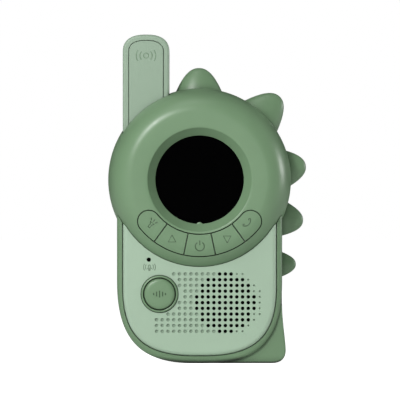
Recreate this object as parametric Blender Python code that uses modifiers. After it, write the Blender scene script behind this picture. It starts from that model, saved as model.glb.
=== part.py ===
"""A toy walkie talkie: a round head with five back spikes, a screen ringed by a puffy bezel with five
keys, a rounded body with a push-to-talk button, a microphone and a speaker, and a flat aerial.

Lengths are in metres. X runs to the right as the front is looked at, Z is up and the front faces -Y.
The two halves of the case part at y = 0, and the origin is on the base under the head's centre line.
"""

import math

import bmesh
import bpy
from mathutils import Matrix, Vector

GAP = 0.0003  # left between pieces that touch on the real object

# Head: a disc behind and a puffy ring in front, both around the same centre.
HEAD_Z = 0.0869
HEAD_RADIUS = 0.0434
CREST_RADIUS = 0.0315
CREST_HEIGHT = 0.0170
BEZEL_WALL = 0.0020
LIP_RADIUS = 0.0246
SCREEN_RADIUS = 0.0209
SCREEN_HEIGHT = 0.0120
HEAD_STEPS = 48

# Body: the tub of the rear half and the pale panel that closes it.
BODY_HALF_WIDTH = 0.0391
BASE_LEFT = -0.0025
BASE_RIGHT = 0.0340
CORNER_TOP = 0.0384
CASE_BACK = 0.0140
CASE_WALL = 0.0025
BACK_EDGE_RADIUS = 0.0045
TUB_FRONT = 0.0090
TUB_EDGE_RADIUS = 0.0022
TAIL_FRONT = 0.0065
TAIL_RIGHT = 0.04085
TAIL_TOP = 0.0280
PANEL_HALF_WIDTH = 0.0363
PANEL_FRONT = 0.0104
PANEL_WALL = 0.0020
PANEL_EDGE_RADIUS = 0.0020
PANEL_SKIRT_BACK = 0.0046

# Spikes: tip x and z, height and half width where each leaves the case, and which way it points.
SPIKES = (
    (-0.0003, 0.1402, 0.0107, 0.0107, 90.0),
    (0.0382, 0.1266, 0.0132, 0.0108, 46.0),
    (0.0507, 0.0937, 0.0087, 0.0086, 8.0),
    (0.0493, 0.0671, 0.0089, 0.0081, -8.0),
    (0.0459, 0.0467, 0.0067, 0.0059, 0.0),
)
SPIKE_Y = 0.0068
SPIKE_FLATNESS = 0.55

# Aerial.
AERIAL_LEFT = -0.0364
AERIAL_RIGHT = -0.0143
AERIAL_TOP = 0.1557
AERIAL_ROOT = 0.1075
AERIAL_FRONT = 0.0060
AERIAL_BACK = 0.0040
AERIAL_BORDER = 0.0026

# Keys: one crescent slot under the screen, split by angle from straight down.
KEY_INNER = 0.0260
KEY_OUTER = 0.03605
KEY_END_ANGLE = 50.6
KEY_SPLITS = (12.0, 36.2)
KEY_GAP = 0.0005
KEY_PROUD = 0.0002
KEY_FLANGE_FRONT = 0.0110
KEY_FLANGE_BACK = 0.00995
KEY_FLANGE_LIP = 0.0013

# Push-to-talk button, microphone and speaker, as x and z on the panel.
PTT = (-0.0189, 0.0329)
PTT_RADIUS = 0.00735
PTT_RING_RADIUS = 0.0087
MIC = (-0.0240, 0.0491)
MIC_HOLE_RADIUS = 0.0010
SPEAKER = (0.0122, 0.0288)
SPEAKER_RADIUS = 0.0140
GRILLE_PITCH = 0.00271
GRILLE_HOLE_RADIUS = 0.0008
GRILLE_REACH = 5.1  # in pitches from the speaker's centre

# Boards and what they carry.
BOARD_FRONT = 0.0044
BOARD_BACK = 0.0032
BOARD_RADIUS = 0.0380
LENS_RADIUS = 0.0236
DISPLAY_RADIUS = 0.0210

# Battery compartment: three AAA cells side by side, behind a cover with one screw.
CELL_RADIUS = 0.00525
CELL_LENGTH = 0.0445
CELL_X = (-0.0110, 0.0, 0.0110)
CELL_Y = 0.0070
BAY_HALF_WIDTH = 0.0170
BAY_BOTTOM = 0.0085
BAY_TOP = 0.0585
COVER_HALF_WIDTH = 0.0182
COVER_BOTTOM = 0.0075
COVER_TOP = 0.0630
COVER_FRONT = 0.0123
COVER_SCREW_Z = 0.0608
TAB_X = 0.0110

# Belt clip on the back of the head.
CLIP_Z = 0.1080
CLIP_Y = 0.0170
CLIP_HALF_WIDTH = 0.0080
CLIP_INNER = 0.0192
CLIP_OUTER = 0.0210
CLIP_TOP = 0.1160
CLIP_BOTTOM = 0.0660

# Case screws: three around the head and two in the body.
SCREW_CIRCLE = 0.0360
HEAD_SCREW_ANGLES = (8.0, 90.0, 178.0)
BODY_SCREWS = ((-0.0262, 0.0138), (0.0262, 0.0138))
BOSS_RADIUS = 0.0026

# Torch lamp in the top of the head, between the first two spikes.
TORCH_ANGLE = 68.5
TORCH_Y = 0.0070


# ---------------------------------------------------------------- scene and materials


def clear_scene():
    for obj in list(bpy.data.objects):
        bpy.data.objects.remove(obj)


def new_collection(name):
    collection = bpy.data.collections.new(name)
    bpy.context.scene.collection.children.link(collection)
    return collection


def new_material(name, colour, roughness, metallic=0.0):
    material = bpy.data.materials.new(name)
    material.use_nodes = True
    shader = material.node_tree.nodes["Principled BSDF"]
    shader.inputs["Base Color"].default_value = (*colour, 1.0)
    shader.inputs["Roughness"].default_value = roughness
    shader.inputs["Metallic"].default_value = metallic
    material.diffuse_color = (*colour, 1.0)
    return material


def dark_green():
    return new_material("dark green plastic", (0.140, 0.235, 0.130), 0.45)


def pale_green():
    return new_material("pale green plastic", (0.400, 0.540, 0.410), 0.50)


def key_green():
    return new_material("key green plastic", (0.190, 0.300, 0.180), 0.50)


def black_glass():
    return new_material("black glass", (0.004, 0.004, 0.004), 0.15)


def silicone():
    return new_material("grey silicone", (0.300, 0.300, 0.290), 0.70)


def board_green():
    return new_material("circuit board", (0.020, 0.120, 0.050), 0.50)


def steel():
    return new_material("plated steel", (0.600, 0.600, 0.600), 0.30, 1.0)


def black_plastic():
    return new_material("black plastic", (0.020, 0.020, 0.020), 0.55)


def cell_jacket():
    return new_material("cell jacket", (0.080, 0.090, 0.100), 0.40)


def cone_paper():
    return new_material("speaker paper", (0.050, 0.050, 0.050), 0.90)


def clear_lens():
    return new_material("clear plastic", (0.800, 0.820, 0.800), 0.10)


def copper():
    return new_material("copper wire", (0.720, 0.330, 0.150), 0.35, 1.0)


def red_wire():
    return new_material("red insulation", (0.500, 0.030, 0.020), 0.50)


def black_wire():
    return new_material("black insulation", (0.015, 0.015, 0.015), 0.50)


# ---------------------------------------------------------------- outlines in the front plane


def arc(centre, radius, start, end, steps):
    """Points (x, z) on an arc; the angles are in degrees, anticlockwise from +X."""
    points = []
    for step in range(steps + 1):
        angle = math.radians(start + (end - start) * step / steps)
        points.append((centre[0] + radius * math.cos(angle), centre[1] + radius * math.sin(angle)))
    return points


def circle(centre, radius, steps):
    return arc(centre, radius, 0, 360, steps)[:-1]


def bezier(start, first, second, end, steps):
    points = []
    for step in range(steps + 1):
        t = step / steps
        s = 1 - t
        weights = (s**3, 3 * s * s * t, 3 * s * t * t, t**3)
        x = sum(w * p[0] for w, p in zip(weights, (start, first, second, end)))
        z = sum(w * p[1] for w, p in zip(weights, (start, first, second, end)))
        points.append((x, z))
    return points


def mirrored(points):
    """The same line on the other side of x = 0, run the other way."""
    return [(-x, z) for x, z in reversed(points)]


def rectangle(left, right, bottom, top):
    return [(left, bottom), (right, bottom), (right, top), (left, top)]


def grown(outline, distance):
    """An anticlockwise outline with each side moved outwards, or inwards where the distance is negative."""
    moved = []
    for index, here in enumerate(outline):
        before = Vector(outline[index - 1])
        after = Vector(outline[(index + 1) % len(outline)])
        here = Vector(here)
        in_side = (here - before).normalized()
        out_side = (after - here).normalized()
        in_normal = Vector((in_side.y, -in_side.x))
        out_normal = Vector((out_side.y, -out_side.x))
        middle = (in_normal + out_normal).normalized()
        moved.append(tuple(here + middle * (distance / middle.dot(out_normal))))
    return moved


def tub_corner():
    """The body's big lower left corner, from the side down to the flat base."""
    return bezier(
        (-BODY_HALF_WIDTH, CORNER_TOP),
        (-BODY_HALF_WIDTH, 0.0080),
        (-0.0250, 0.0),
        (BASE_LEFT, 0.0),
        11,
    )


def tub_outline():
    corner = tub_corner()
    sides = [(BODY_HALF_WIDTH, 0.0760), (-BODY_HALF_WIDTH, 0.0760)]
    return corner + mirrored(corner) + sides


def tail_edge():
    """The dragon's tail: the body's right side flares out and turns a tight corner to the base."""
    turn = bezier(
        (BASE_RIGHT, 0.0), (0.0386, 0.0), (TAIL_RIGHT, 0.0022), (TAIL_RIGHT, 0.0063), 6
    )
    flare = bezier(
        (TAIL_RIGHT, 0.0063), (TAIL_RIGHT, 0.0110), (BODY_HALF_WIDTH, 0.0200), (BODY_HALF_WIDTH, TAIL_TOP), 6
    )
    return turn + flare[1:]


def case_outline():
    """The rear half's whole outline: body, tail and the head's disc."""
    shoulder = math.degrees(math.acos(BODY_HALF_WIDTH / HEAD_RADIUS))
    head = arc((0.0, HEAD_Z), HEAD_RADIUS, -shoulder, 180 + shoulder, 36)
    return tail_edge() + head + tub_corner()


def panel_outline():
    corner = bezier(
        (-PANEL_HALF_WIDTH, 0.0360), (-PANEL_HALF_WIDTH, 0.0125), (-0.0260, 0.0037), (-0.0020, 0.0037), 12
    )
    sides = [(PANEL_HALF_WIDTH, 0.0740), (-PANEL_HALF_WIDTH, 0.0740)]
    return corner + mirrored(corner) + sides


def aerial_outline(border):
    """The aerial's outline, brought in by a border: straight sides and a soft superellipse top."""
    middle = (AERIAL_LEFT + AERIAL_RIGHT) / 2
    half = (AERIAL_RIGHT - AERIAL_LEFT) / 2 - border
    shoulder = AERIAL_TOP - 0.0085
    rise = 0.0085 - border
    top = []
    for step in range(17):
        angle = math.pi * step / 16
        x = math.copysign(abs(math.cos(angle)) ** 0.80, math.cos(angle))
        z = math.sin(angle) ** 0.80
        top.append((middle + half * x, shoulder + rise * z))
    return [(middle - half, AERIAL_ROOT), (middle + half, AERIAL_ROOT)] + top


def key_point(radius, angle):
    """A point on the head's face, by its radius and its angle from straight down."""
    turn = math.radians(angle)
    return (radius * math.sin(turn), HEAD_Z - radius * math.cos(turn))


def key_band(inner, outer, start, end, side_gap):
    """The outline of a stretch of the crescent, with its straight sides held back by side_gap."""

    def shift(radius):
        return math.degrees(side_gap / radius)

    rim = []
    back = []
    for step in range(7):
        part = step / 6
        low = start + shift(outer) if start > -KEY_END_ANGLE else start
        high = end - shift(outer) if end < KEY_END_ANGLE else end
        rim.append(key_point(outer, low + (high - low) * part))
        low = start + shift(inner) if start > -KEY_END_ANGLE else start
        high = end - shift(inner) if end < KEY_END_ANGLE else end
        back.append(key_point(inner, high + (low - high) * part))
    middle = (inner + outer) / 2
    cap = (outer - inner) / 2
    outline = list(rim)
    if end >= KEY_END_ANGLE:
        outline += arc(key_point(middle, end), cap, end - 90, end + 90, 10)[1:-1]
    outline += back
    if start <= -KEY_END_ANGLE:
        outline += arc(key_point(middle, start), cap, start + 90, start + 270, 10)[1:-1]
    return outline


# ---------------------------------------------------------------- solids


def as_mesh(curve_object, name):
    """A curve made into a closed mesh object in the same place, so that Booleans can use it."""
    bpy.context.view_layer.update()
    evaluated = curve_object.evaluated_get(bpy.context.evaluated_depsgraph_get())
    mesh = bpy.data.meshes.new_from_object(evaluated)
    shape = bmesh.new()
    shape.from_mesh(mesh)
    bmesh.ops.remove_doubles(shape, verts=shape.verts, dist=0.000001)
    shape.to_mesh(mesh)
    shape.free()
    mesh.name = name
    placed = curve_object.matrix_world.copy()
    bpy.data.objects.remove(curve_object)
    obj = bpy.data.objects.new(name, mesh)
    PARTS.objects.link(obj)
    obj.matrix_world = placed
    return obj


def slab(name, outlines, front, back):
    """A flat plate between two depths. Its outlines lie in the front plane; inner ones are holes."""
    data = bpy.data.curves.new(name, "CURVE")
    data.dimensions = "2D"
    data.fill_mode = "BOTH"
    data.extrude = (back - front) / 2
    for outline in outlines:
        spline = data.splines.new("POLY")
        spline.points.add(len(outline) - 1)
        for point, (x, z) in zip(spline.points, outline):
            point.co = (x, z, 0, 1)
        spline.use_cyclic_u = True
    curve_object = bpy.data.objects.new(name + " outline", data)
    PARTS.objects.link(curve_object)
    curve_object.rotation_euler = (math.radians(90), 0, 0)
    curve_object.location = (0, (front + back) / 2, 0)
    return as_mesh(curve_object, name)


def turned(name, profile, centre, steps=32, ring=False):
    """A piece turned about a Y axis. The profile gives radius and height towards the front."""
    mesh = bpy.data.meshes.new(name)
    points = [(radius, 0, height) for radius, height in profile]
    edges = [(index, index + 1) for index in range(len(points) - 1)]
    if ring:
        edges.append((len(points) - 1, 0))
    mesh.from_pydata(points, edges, [])
    obj = bpy.data.objects.new(name, mesh)
    PARTS.objects.link(obj)
    obj.rotation_euler = (math.radians(90), 0, 0)
    obj.location = centre
    screw = obj.modifiers.new("turn", "SCREW")
    screw.steps = steps
    screw.render_steps = steps
    screw.use_merge_vertices = True
    screw.merge_threshold = 0.00001
    screw.use_smooth_shade = True
    bpy.context.view_layer.update()
    return obj


def rod(name, centre, radius, length, axis="Y", steps=12):
    """A plain cylinder along one axis, by its middle."""
    bpy.ops.mesh.primitive_cylinder_add(vertices=steps, radius=radius, depth=length, location=centre)
    obj = bpy.context.active_object
    obj.name = name
    if axis == "Y":
        obj.rotation_euler = (math.radians(90), 0, 0)
    elif axis == "X":
        obj.rotation_euler = (0, math.radians(90), 0)
    move_to(obj, PARTS)
    bpy.context.view_layer.update()
    return obj


def block(name, low, high, rounding=0.0):
    """A box between two corners, with its edges rounded."""
    size = [top - bottom for bottom, top in zip(low, high)]
    middle = [(top + bottom) / 2 for bottom, top in zip(low, high)]
    bpy.ops.mesh.primitive_cube_add(size=1, location=middle)
    obj = bpy.context.active_object
    obj.name = name
    for vertex in obj.data.vertices:
        vertex.co = [a * b for a, b in zip(vertex.co, size)]
    if rounding:
        bevel = obj.modifiers.new("edges", "BEVEL")
        bevel.width = rounding
        bevel.segments = 2
    move_to(obj, PARTS)
    bpy.context.view_layer.update()
    return obj


def move_to(obj, collection):
    for holder in list(obj.users_collection):
        holder.objects.unlink(obj)
    collection.objects.link(obj)


def round_face_edge(obj, depth, radius, segments):
    """Rounds the edge that runs round the flat face of a slab at one depth in y."""
    placed = obj.matrix_world
    shape = bmesh.new()
    shape.from_mesh(obj.data)

    def on_face(vertex):
        return abs((placed @ vertex.co).y - depth) < 0.00001

    flat = [face for face in shape.faces if all(on_face(vertex) for vertex in face.verts)]
    bmesh.ops.dissolve_faces(shape, faces=flat)
    edges = [
        edge
        for edge in shape.edges
        if all(on_face(vertex) for vertex in edge.verts)
        and any(not on_face(vertex) for face in edge.link_faces for vertex in face.verts)
    ]
    bmesh.ops.bevel(
        shape,
        geom=edges,
        offset=radius,
        segments=segments,
        profile=0.5,
        affect="EDGES",
        clamp_overlap=False,
    )
    shape.to_mesh(obj.data)
    shape.free()


def combine(obj, tool, operation):
    """Adds a Boolean to the object and puts its tool away with the cutters."""
    modifier = obj.modifiers.new(operation.lower(), "BOOLEAN")
    modifier.operation = operation
    modifier.solver = "EXACT"
    modifier.object = tool
    tool.hide_render = True
    tool.display_type = "WIRE"
    move_to(tool, CUTTERS)


def cut(obj, *tools):
    for tool in tools:
        combine(obj, tool, "DIFFERENCE")


def join(obj, *tools):
    for tool in tools:
        combine(obj, tool, "UNION")


def settle(obj):
    """Keeps the shape that the modifiers make, so that nothing later has to work it out again."""
    bpy.context.view_layer.update()
    evaluated = obj.evaluated_get(bpy.context.evaluated_depsgraph_get())
    mesh = bpy.data.meshes.new_from_object(evaluated)
    obj.modifiers.clear()
    obj.data = mesh
    mesh.name = obj.name


def finish(obj, material, smooth=35.0):
    """Gives the piece its material and smooth shading up to an angle."""
    if obj.type == "MESH":
        settle(obj)
        obj.data.materials.clear()
        obj.data.shade_smooth()
        obj.data.set_sharp_from_angle(angle=math.radians(smooth))
    obj.data.materials.append(material)
    return obj


def move_origin(obj, point):
    """Puts the object's origin on a joint's axis and leaves its shape where it is."""
    bpy.context.view_layer.update()
    shift = obj.matrix_world.inverted() @ Vector(point)
    obj.data.transform(Matrix.Translation(-shift))
    obj.location = point
    bpy.context.view_layer.update()


def smooth_route(points, steps):
    """Points along a Catmull-Rom curve through the given ones."""
    ends = [points[0]] + list(points) + [points[-1]]
    route = []
    for index in range(1, len(ends) - 2):
        a, b, c, d = (Vector(point) for point in ends[index - 1 : index + 3])
        for step in range(steps):
            t = step / steps
            bend = (2 * b) + (c - a) * t
            bend += (2 * a - 5 * b + 4 * c - d) * t * t
            bend += (3 * b - a - 3 * c + d) * t**3
            route.append(bend / 2)
    route.append(Vector(points[-1]))
    return route


def wire(name, points, radius, material):
    data = bpy.data.curves.new(name, "CURVE")
    data.dimensions = "3D"
    data.bevel_depth = radius
    data.bevel_resolution = 2
    data.use_fill_caps = True
    spline = data.splines.new("POLY")
    spline.points.add(len(points) - 1)
    for point, place in zip(spline.points, points):
        point.co = (*place, 1)
    obj = bpy.data.objects.new(name, data)
    PARTS.objects.link(obj)
    data.materials.append(material)
    return obj


def coil(axis, radius, bottom, top, turns, per_turn):
    """Points of a coil around a Z axis at (x, y)."""
    points = []
    count = int(turns * per_turn)
    for step in range(count + 1):
        angle = 2 * math.pi * step / per_turn
        x = axis[0] + radius * math.cos(angle)
        y = axis[1] + radius * math.sin(angle)
        points.append((x, y, bottom + (top - bottom) * step / count))
    return points


# ---------------------------------------------------------------- shared profiles


def ring_height(radius, grow=0.0):
    """How far the puffy ring stands out at a radius."""
    if radius >= CREST_RADIUS:
        reach = HEAD_RADIUS - CREST_RADIUS + grow
        part = min(1.0, (radius - CREST_RADIUS) / reach)
        return (CREST_HEIGHT + grow) * math.sqrt(1 - part * part)
    part = (CREST_RADIUS - radius) / 0.0070
    return CREST_HEIGHT + grow - 0.0005 * (1 - math.sqrt(max(0.0, 1 - part * part)))


def ring_side(reach, height, steps, foot):
    """The ring's outer slope, from just past the crest down to its rim."""
    points = []
    for step in range(steps + 1):
        angle = math.radians(90 - 90 * step / steps)
        points.append((CREST_RADIUS + reach * math.cos(angle), height * math.sin(angle)))
    points[-1] = (CREST_RADIUS + reach, foot)
    return points


def head_space():
    """Everything that the bezel takes up, with a gap around it, for cutting the body's pieces."""
    reach = HEAD_RADIUS - CREST_RADIUS + GAP
    profile = [(0, 0.0200), (CREST_RADIUS - 0.001, 0.0200)]
    profile += ring_side(reach, CREST_HEIGHT + GAP, 10, 0.0)
    profile += [(HEAD_RADIUS + GAP, -GAP / 2), (0, -GAP / 2)]
    return turned("head space", profile, (0, 0, HEAD_Z), HEAD_STEPS)


def screw_places():
    places = [arc((0.0, HEAD_Z), SCREW_CIRCLE, angle, angle, 1)[0] for angle in HEAD_SCREW_ANGLES]
    return places + list(BODY_SCREWS)


# ---------------------------------------------------------------- case


def spike(number, tip_x, tip_z, height, half_width, angle):
    """A blunt spike: turned about its own axis, then flattened in depth and aimed."""
    profile = [(0, 0)]
    for part in (0.03, 0.14, 0.36, 0.68, 1.0, 1.45):
        profile.append((half_width * part**0.45, -height * part))
    profile.append((0, -height * 1.45))
    obj = turned(f"spike {number}", profile, (0, 0, 0), 16)
    settle(obj)
    aim = Matrix.Rotation(math.radians(90 - angle), 4, "Y")
    flatten = Matrix.Diagonal((1, SPIKE_FLATNESS, 1, 1))
    obj.data.transform(aim @ flatten)
    obj.rotation_euler = (0, 0, 0)
    obj.location = (tip_x, SPIKE_Y, tip_z)
    bpy.context.view_layer.update()
    return obj


def rear_shell():
    """The dark rear half: head disc, spikes, body tub, tail, screw posts and battery bay."""
    shell = slab("rear_shell", [case_outline()], 0.0, CASE_BACK)
    round_face_edge(shell, CASE_BACK, BACK_EDGE_RADIUS, 3)
    tub = slab("tub", [tub_outline()], -TUB_FRONT, 0.0020)
    round_face_edge(tub, -TUB_FRONT, TUB_EDGE_RADIUS, 3)
    tail = slab("tail", [[(0.0, 0.0)] + tail_edge() + [(0.0200, TAIL_TOP)]], -TAIL_FRONT, 0.0020)
    round_face_edge(tail, -TAIL_FRONT, 0.0010, 2)
    join(shell, tub, tail)
    for number, place in enumerate(SPIKES, 1):
        join(shell, spike(number, *place))
    cut(shell, head_space())
    cut(shell, slab("panel well", [grown(panel_outline(), GAP)], -0.0120, CASE_BACK - 0.0030))
    inside = grown(case_outline(), -CASE_WALL + 0.0003)
    cut(shell, slab("case hollow", [inside], -0.0040, CASE_BACK - CASE_WALL))
    settle(shell)
    for x, z in screw_places():
        join(shell, rod("screw post", (x, 0.0060, z), 0.0033, 0.0120))
    join(shell, block("bay wall", (-0.0205, 0.0, 0.0065), (0.0205, 0.0130, COVER_TOP + 0.0025)))
    join(shell, block("bay foot", (-0.0155, 0.0, 0.0034), (0.0155, 0.0129, 0.0075)))
    for side in (-1, 1):
        join(shell, rod("clip lug", (side * 0.0066, CLIP_Y, CLIP_Z), 0.0020, 0.0028, "X", 20))
        join(
            shell,
            block(
                "clip lug foot",
                (side * 0.0066 - 0.00139, 0.0120, CLIP_Z - 0.0019),
                (side * 0.0066 + 0.00139, CLIP_Y, CLIP_Z + 0.0019),
            ),
        )
    settle(shell)
    cut_rear_shell(shell)
    return finish(shell, dark_green())


def cut_rear_shell(shell):
    """Every hole and pocket in the rear half."""
    for x, z in screw_places():
        cut(shell, rod("screw sink", (x, 0.0100, z), 0.0028, 0.0120))
        cut(shell, rod("screw way", (x, 0.0020, z), 0.0014, 0.0060, steps=12))
    cut(
        shell,
        block("battery bay", (-BAY_HALF_WIDTH, 0.0015, BAY_BOTTOM), (BAY_HALF_WIDTH, 0.0150, BAY_TOP)),
    )
    seat = cover_outline(GAP)
    cut(shell, slab("cover seat", [seat], COVER_FRONT - GAP, 0.0150))
    cut(shell, rod("cover screw way", (0, 0.0080, COVER_SCREW_Z), 0.0017, 0.0100, steps=12))
    for x in (-TAB_X, TAB_X):
        low = (x - 0.0034, 0.0098, COVER_BOTTOM - 0.0021)
        high = (x + 0.0034, 0.0122, COVER_BOTTOM + 0.0013)
        cut(shell, block("tab pocket", low, high))
    cut(shell, aerial_slot())
    cut(shell, rod("clip pin hole", (0, CLIP_Y, CLIP_Z), 0.0013, 0.0300, "X", 12))
    cut(shell, torch_rod("torch hole", 0.0029, 0.0370, 0.0460))
    cut(shell, rod("plus lead hole", (CELL_X[2], 0.0040, BAY_TOP + 0.0035), 0.0010, 0.0090, "Z", 8))
    cut(shell, rod("minus lead hole", (-0.0185, 0.0040, BAY_BOTTOM + 0.0033), 0.0010, 0.0060, "X", 8))


def front_panel():
    """The pale front: a tray with a skirt, the speaker's grille and the button's and microphone's holes."""
    panel = slab("front_panel", [panel_outline()], -PANEL_FRONT, -PANEL_SKIRT_BACK)
    round_face_edge(panel, -PANEL_FRONT, PANEL_EDGE_RADIUS, 3)
    tray = slab("tray", [grown(panel_outline(), -0.0016)], -PANEL_FRONT + PANEL_WALL, -0.0040)
    cut(panel, tray, head_space())
    settle(panel)
    rim = circle(SPEAKER, SPEAKER_RADIUS + 0.0016, 32)
    hole = circle(SPEAKER, SPEAKER_RADIUS + GAP, 32)
    join(panel, slab("speaker rim", [rim, hole], -PANEL_FRONT + 0.0015, -0.0066))
    for x, z in BODY_SCREWS:
        join(panel, rod("panel boss", (x, -0.0046, z), BOSS_RADIUS, 0.0086))
    settle(panel)
    for x, z in BODY_SCREWS:
        cut(panel, rod("pilot hole", (x, -0.0036, z), 0.0013, 0.0078, steps=12))
    cut(panel, rod("button hole", (PTT[0], -0.0090, PTT[1]), PTT_RING_RADIUS + GAP, 0.0060, steps=32))
    cut(panel, rod("microphone hole", (MIC[0], -0.0090, MIC[1]), MIC_HOLE_RADIUS, 0.0060, steps=12))
    cut(panel, grille_holes())
    return finish(panel, pale_green())


def grille_holes():
    """Small round holes on a square grid, kept where they fall inside the speaker's circle."""
    holes = []
    reach = int(GRILLE_REACH)
    for column in range(-reach, reach + 1):
        for row in range(-reach, reach + 1):
            if column * column + row * row <= GRILLE_REACH**2:
                centre = (SPEAKER[0] + column * GRILLE_PITCH, SPEAKER[1] + row * GRILLE_PITCH)
                holes.append(circle(centre, GRILLE_HOLE_RADIUS, 5))
    return slab("grille holes", holes, -PANEL_FRONT - 0.001, -PANEL_FRONT + PANEL_WALL + 0.001)


def head_bezel():
    """The puffy ring around the screen, with the keys' slot, screw bosses and a small tab at the screen."""
    outer = ring_side(HEAD_RADIUS - CREST_RADIUS, CREST_HEIGHT, 9, GAP / 2)
    inner_reach = HEAD_RADIUS - CREST_RADIUS - BEZEL_WALL
    inner = ring_side(inner_reach, CREST_HEIGHT - BEZEL_WALL, 5, GAP / 2)
    profile = outer + list(reversed(inner))
    profile += [(0.0285, 0.0149), (0.0263, 0.0142), (0.0239, 0.0113), (SCREEN_RADIUS, 0.0113)]
    profile += [(SCREEN_RADIUS, SCREEN_HEIGHT), (LIP_RADIUS - 0.0003, 0.0162)]
    profile += [(LIP_RADIUS + 0.0001, 0.0166), (0.0265, 0.0168), (0.0285, 0.01693)]
    bezel = turned("head_bezel", profile, (0, 0, HEAD_Z), HEAD_STEPS, ring=True)
    settle(bezel)
    for angle in HEAD_SCREW_ANGLES:
        x, z = arc((0.0, HEAD_Z), SCREW_CIRCLE, angle, angle, 1)[0]
        join(bezel, rod("head boss", (x, -0.00675, z), BOSS_RADIUS, 0.0129))
    tab_z = HEAD_Z - SCREEN_RADIUS - 0.0011
    join(bezel, rod("screen tab", (0, -0.01175, tab_z), 0.0019, 0.0007, steps=16))
    settle(bezel)
    for angle in HEAD_SCREW_ANGLES:
        x, z = arc((0.0, HEAD_Z), SCREW_CIRCLE, angle, angle, 1)[0]
        cut(bezel, rod("head pilot hole", (x, -0.0036, z), 0.0013, 0.0078, steps=12))
    slot = key_band(
        KEY_INNER - KEY_GAP, KEY_OUTER + KEY_GAP, -KEY_END_ANGLE, KEY_END_ANGLE, 0.0
    )
    cut(bezel, slab("key slot", [slot], -0.0200, -0.0105))
    cut(bezel, aerial_slot())
    cut(bezel, block("body passage", (-0.0362, -0.0080, 0.0380), (0.0362, 0.0010, 0.0720)))
    return finish(bezel, dark_green())


# ---------------------------------------------------------------- aerial


def aerial_slot():
    return block(
        "aerial slot",
        (AERIAL_LEFT - GAP, -AERIAL_FRONT - GAP, AERIAL_ROOT - GAP),
        (AERIAL_RIGHT + GAP, AERIAL_BACK + GAP, 0.1700),
    )


def antenna_housing():
    """The flat aerial's body, hollow and open at the foot, with a seat for its cover."""
    housing = slab("antenna_housing", [aerial_outline(0.0)], -AERIAL_FRONT, AERIAL_BACK)
    round_face_edge(housing, -AERIAL_FRONT, 0.0012, 2)
    round_face_edge(housing, AERIAL_BACK, 0.0020, 2)
    seat = aerial_outline(AERIAL_BORDER)
    seat = [(x, z if z > AERIAL_ROOT + 0.001 else AERIAL_ROOT - 0.001) for x, z in seat]
    cut(housing, slab("aerial cover seat", [seat], -0.0070, -0.0045))
    cut(housing, block("aerial hollow", (-0.0320, -0.0050, 0.1000), (-0.0187, 0.0024, 0.1500)))
    return finish(housing, pale_green())


def antenna_cover():
    cover = slab("antenna_cover", [aerial_outline(AERIAL_BORDER + GAP)], -0.0059, -0.0048)
    round_face_edge(cover, -0.0059, 0.0003, 1)
    return finish(cover, pale_green())


def antenna_coil():
    middle = (AERIAL_LEFT + AERIAL_RIGHT) / 2
    return wire("antenna_coil", coil((middle, -0.0012), 0.0024, 0.1100, 0.1460, 6, 8), 0.0004, copper())


def antenna_lead():
    route = [(-0.0230, -0.0012, 0.1092), (-0.0225, -0.0014, 0.1050), (-0.0210, -0.0023, 0.0995)]
    return wire("antenna_lead", smooth_route(route, 4), 0.0004, black_wire())


# ---------------------------------------------------------------- screen and keys


def screen_lens():
    profile = [(0, 0.0110), (LENS_RADIUS, 0.0110), (LENS_RADIUS, 0.0098), (0, 0.0098)]
    return finish(turned("screen_lens", profile, (0, 0, HEAD_Z), 32), black_glass())


def display_module():
    profile = [(0, 0.0095), (DISPLAY_RADIUS, 0.0095), (DISPLAY_RADIUS, 0.0065), (0, 0.0065)]
    return finish(turned("display_module", profile, (0, 0, HEAD_Z), 32), black_plastic())


def display_frame():
    """The ring that holds the display off the board."""
    profile = [(0.0237, 0.0095), (0.0237, 0.0047), (0.0195, 0.0047), (0.0195, 0.0062)]
    profile += [(0.0213, 0.0062), (0.0213, 0.0095)]
    return finish(turned("display_frame", profile, (0, 0, HEAD_Z), 24, ring=True), black_plastic())


def key(name, start, end):
    """One key: the crescent's stretch, domed like the ring around it, on a flange inside the slot."""
    top = []
    for step in range(9):
        radius = 0.0385 - (0.0385 - 0.0252) * step / 8
        top.append((radius, ring_height(radius) + KEY_PROUD))
    profile = list(reversed(top)) + [(0.0385, 0.0105), (0.0252, 0.0105)]
    crown = turned("key crown", profile, (0, 0, HEAD_Z), 48, ring=True)
    settle(crown)
    outline = key_band(KEY_INNER, KEY_OUTER, start, end, KEY_GAP / 2)
    piece = slab(name, [outline], -0.0190, -0.0107)
    combine(piece, crown, "INTERSECT")
    settle(piece)
    flange = key_band(KEY_INNER - KEY_FLANGE_LIP, KEY_OUTER + KEY_FLANGE_LIP, start, end, 0.0004)
    join(piece, slab(name + " flange", [flange], -KEY_FLANGE_FRONT, -KEY_FLANGE_BACK))
    finish(piece, key_green(), 30.0)
    x, z = key_point((KEY_INNER + KEY_OUTER) / 2, (start + end) / 2)
    move_origin(piece, (x, -KEY_FLANGE_BACK, z))
    return piece


def keys():
    near, far = KEY_SPLITS
    key("torch_key", -KEY_END_ANGLE, -far)
    key("up_key", -far, -near)
    key("power_key", -near, near)
    key("down_key", near, far)
    key("call_key", far, KEY_END_ANGLE)


def keypad_mat():
    """One silicone mat: a web on the board and a post under each key."""
    band = key_band(0.0248, 0.0373, -KEY_END_ANGLE, KEY_END_ANGLE, 0.0)
    mat = slab("keypad_mat", [band], -0.0055, -0.0047)
    for angle in (-46.5, -24.0, 0.0, 24.0, 46.5):
        x, z = key_point(0.0310, angle)
        join(mat, rod("mat post", (x, -0.0074, z), 0.0030, 0.0045))
    return finish(mat, silicone())


# ---------------------------------------------------------------- button, microphone and speaker


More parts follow.
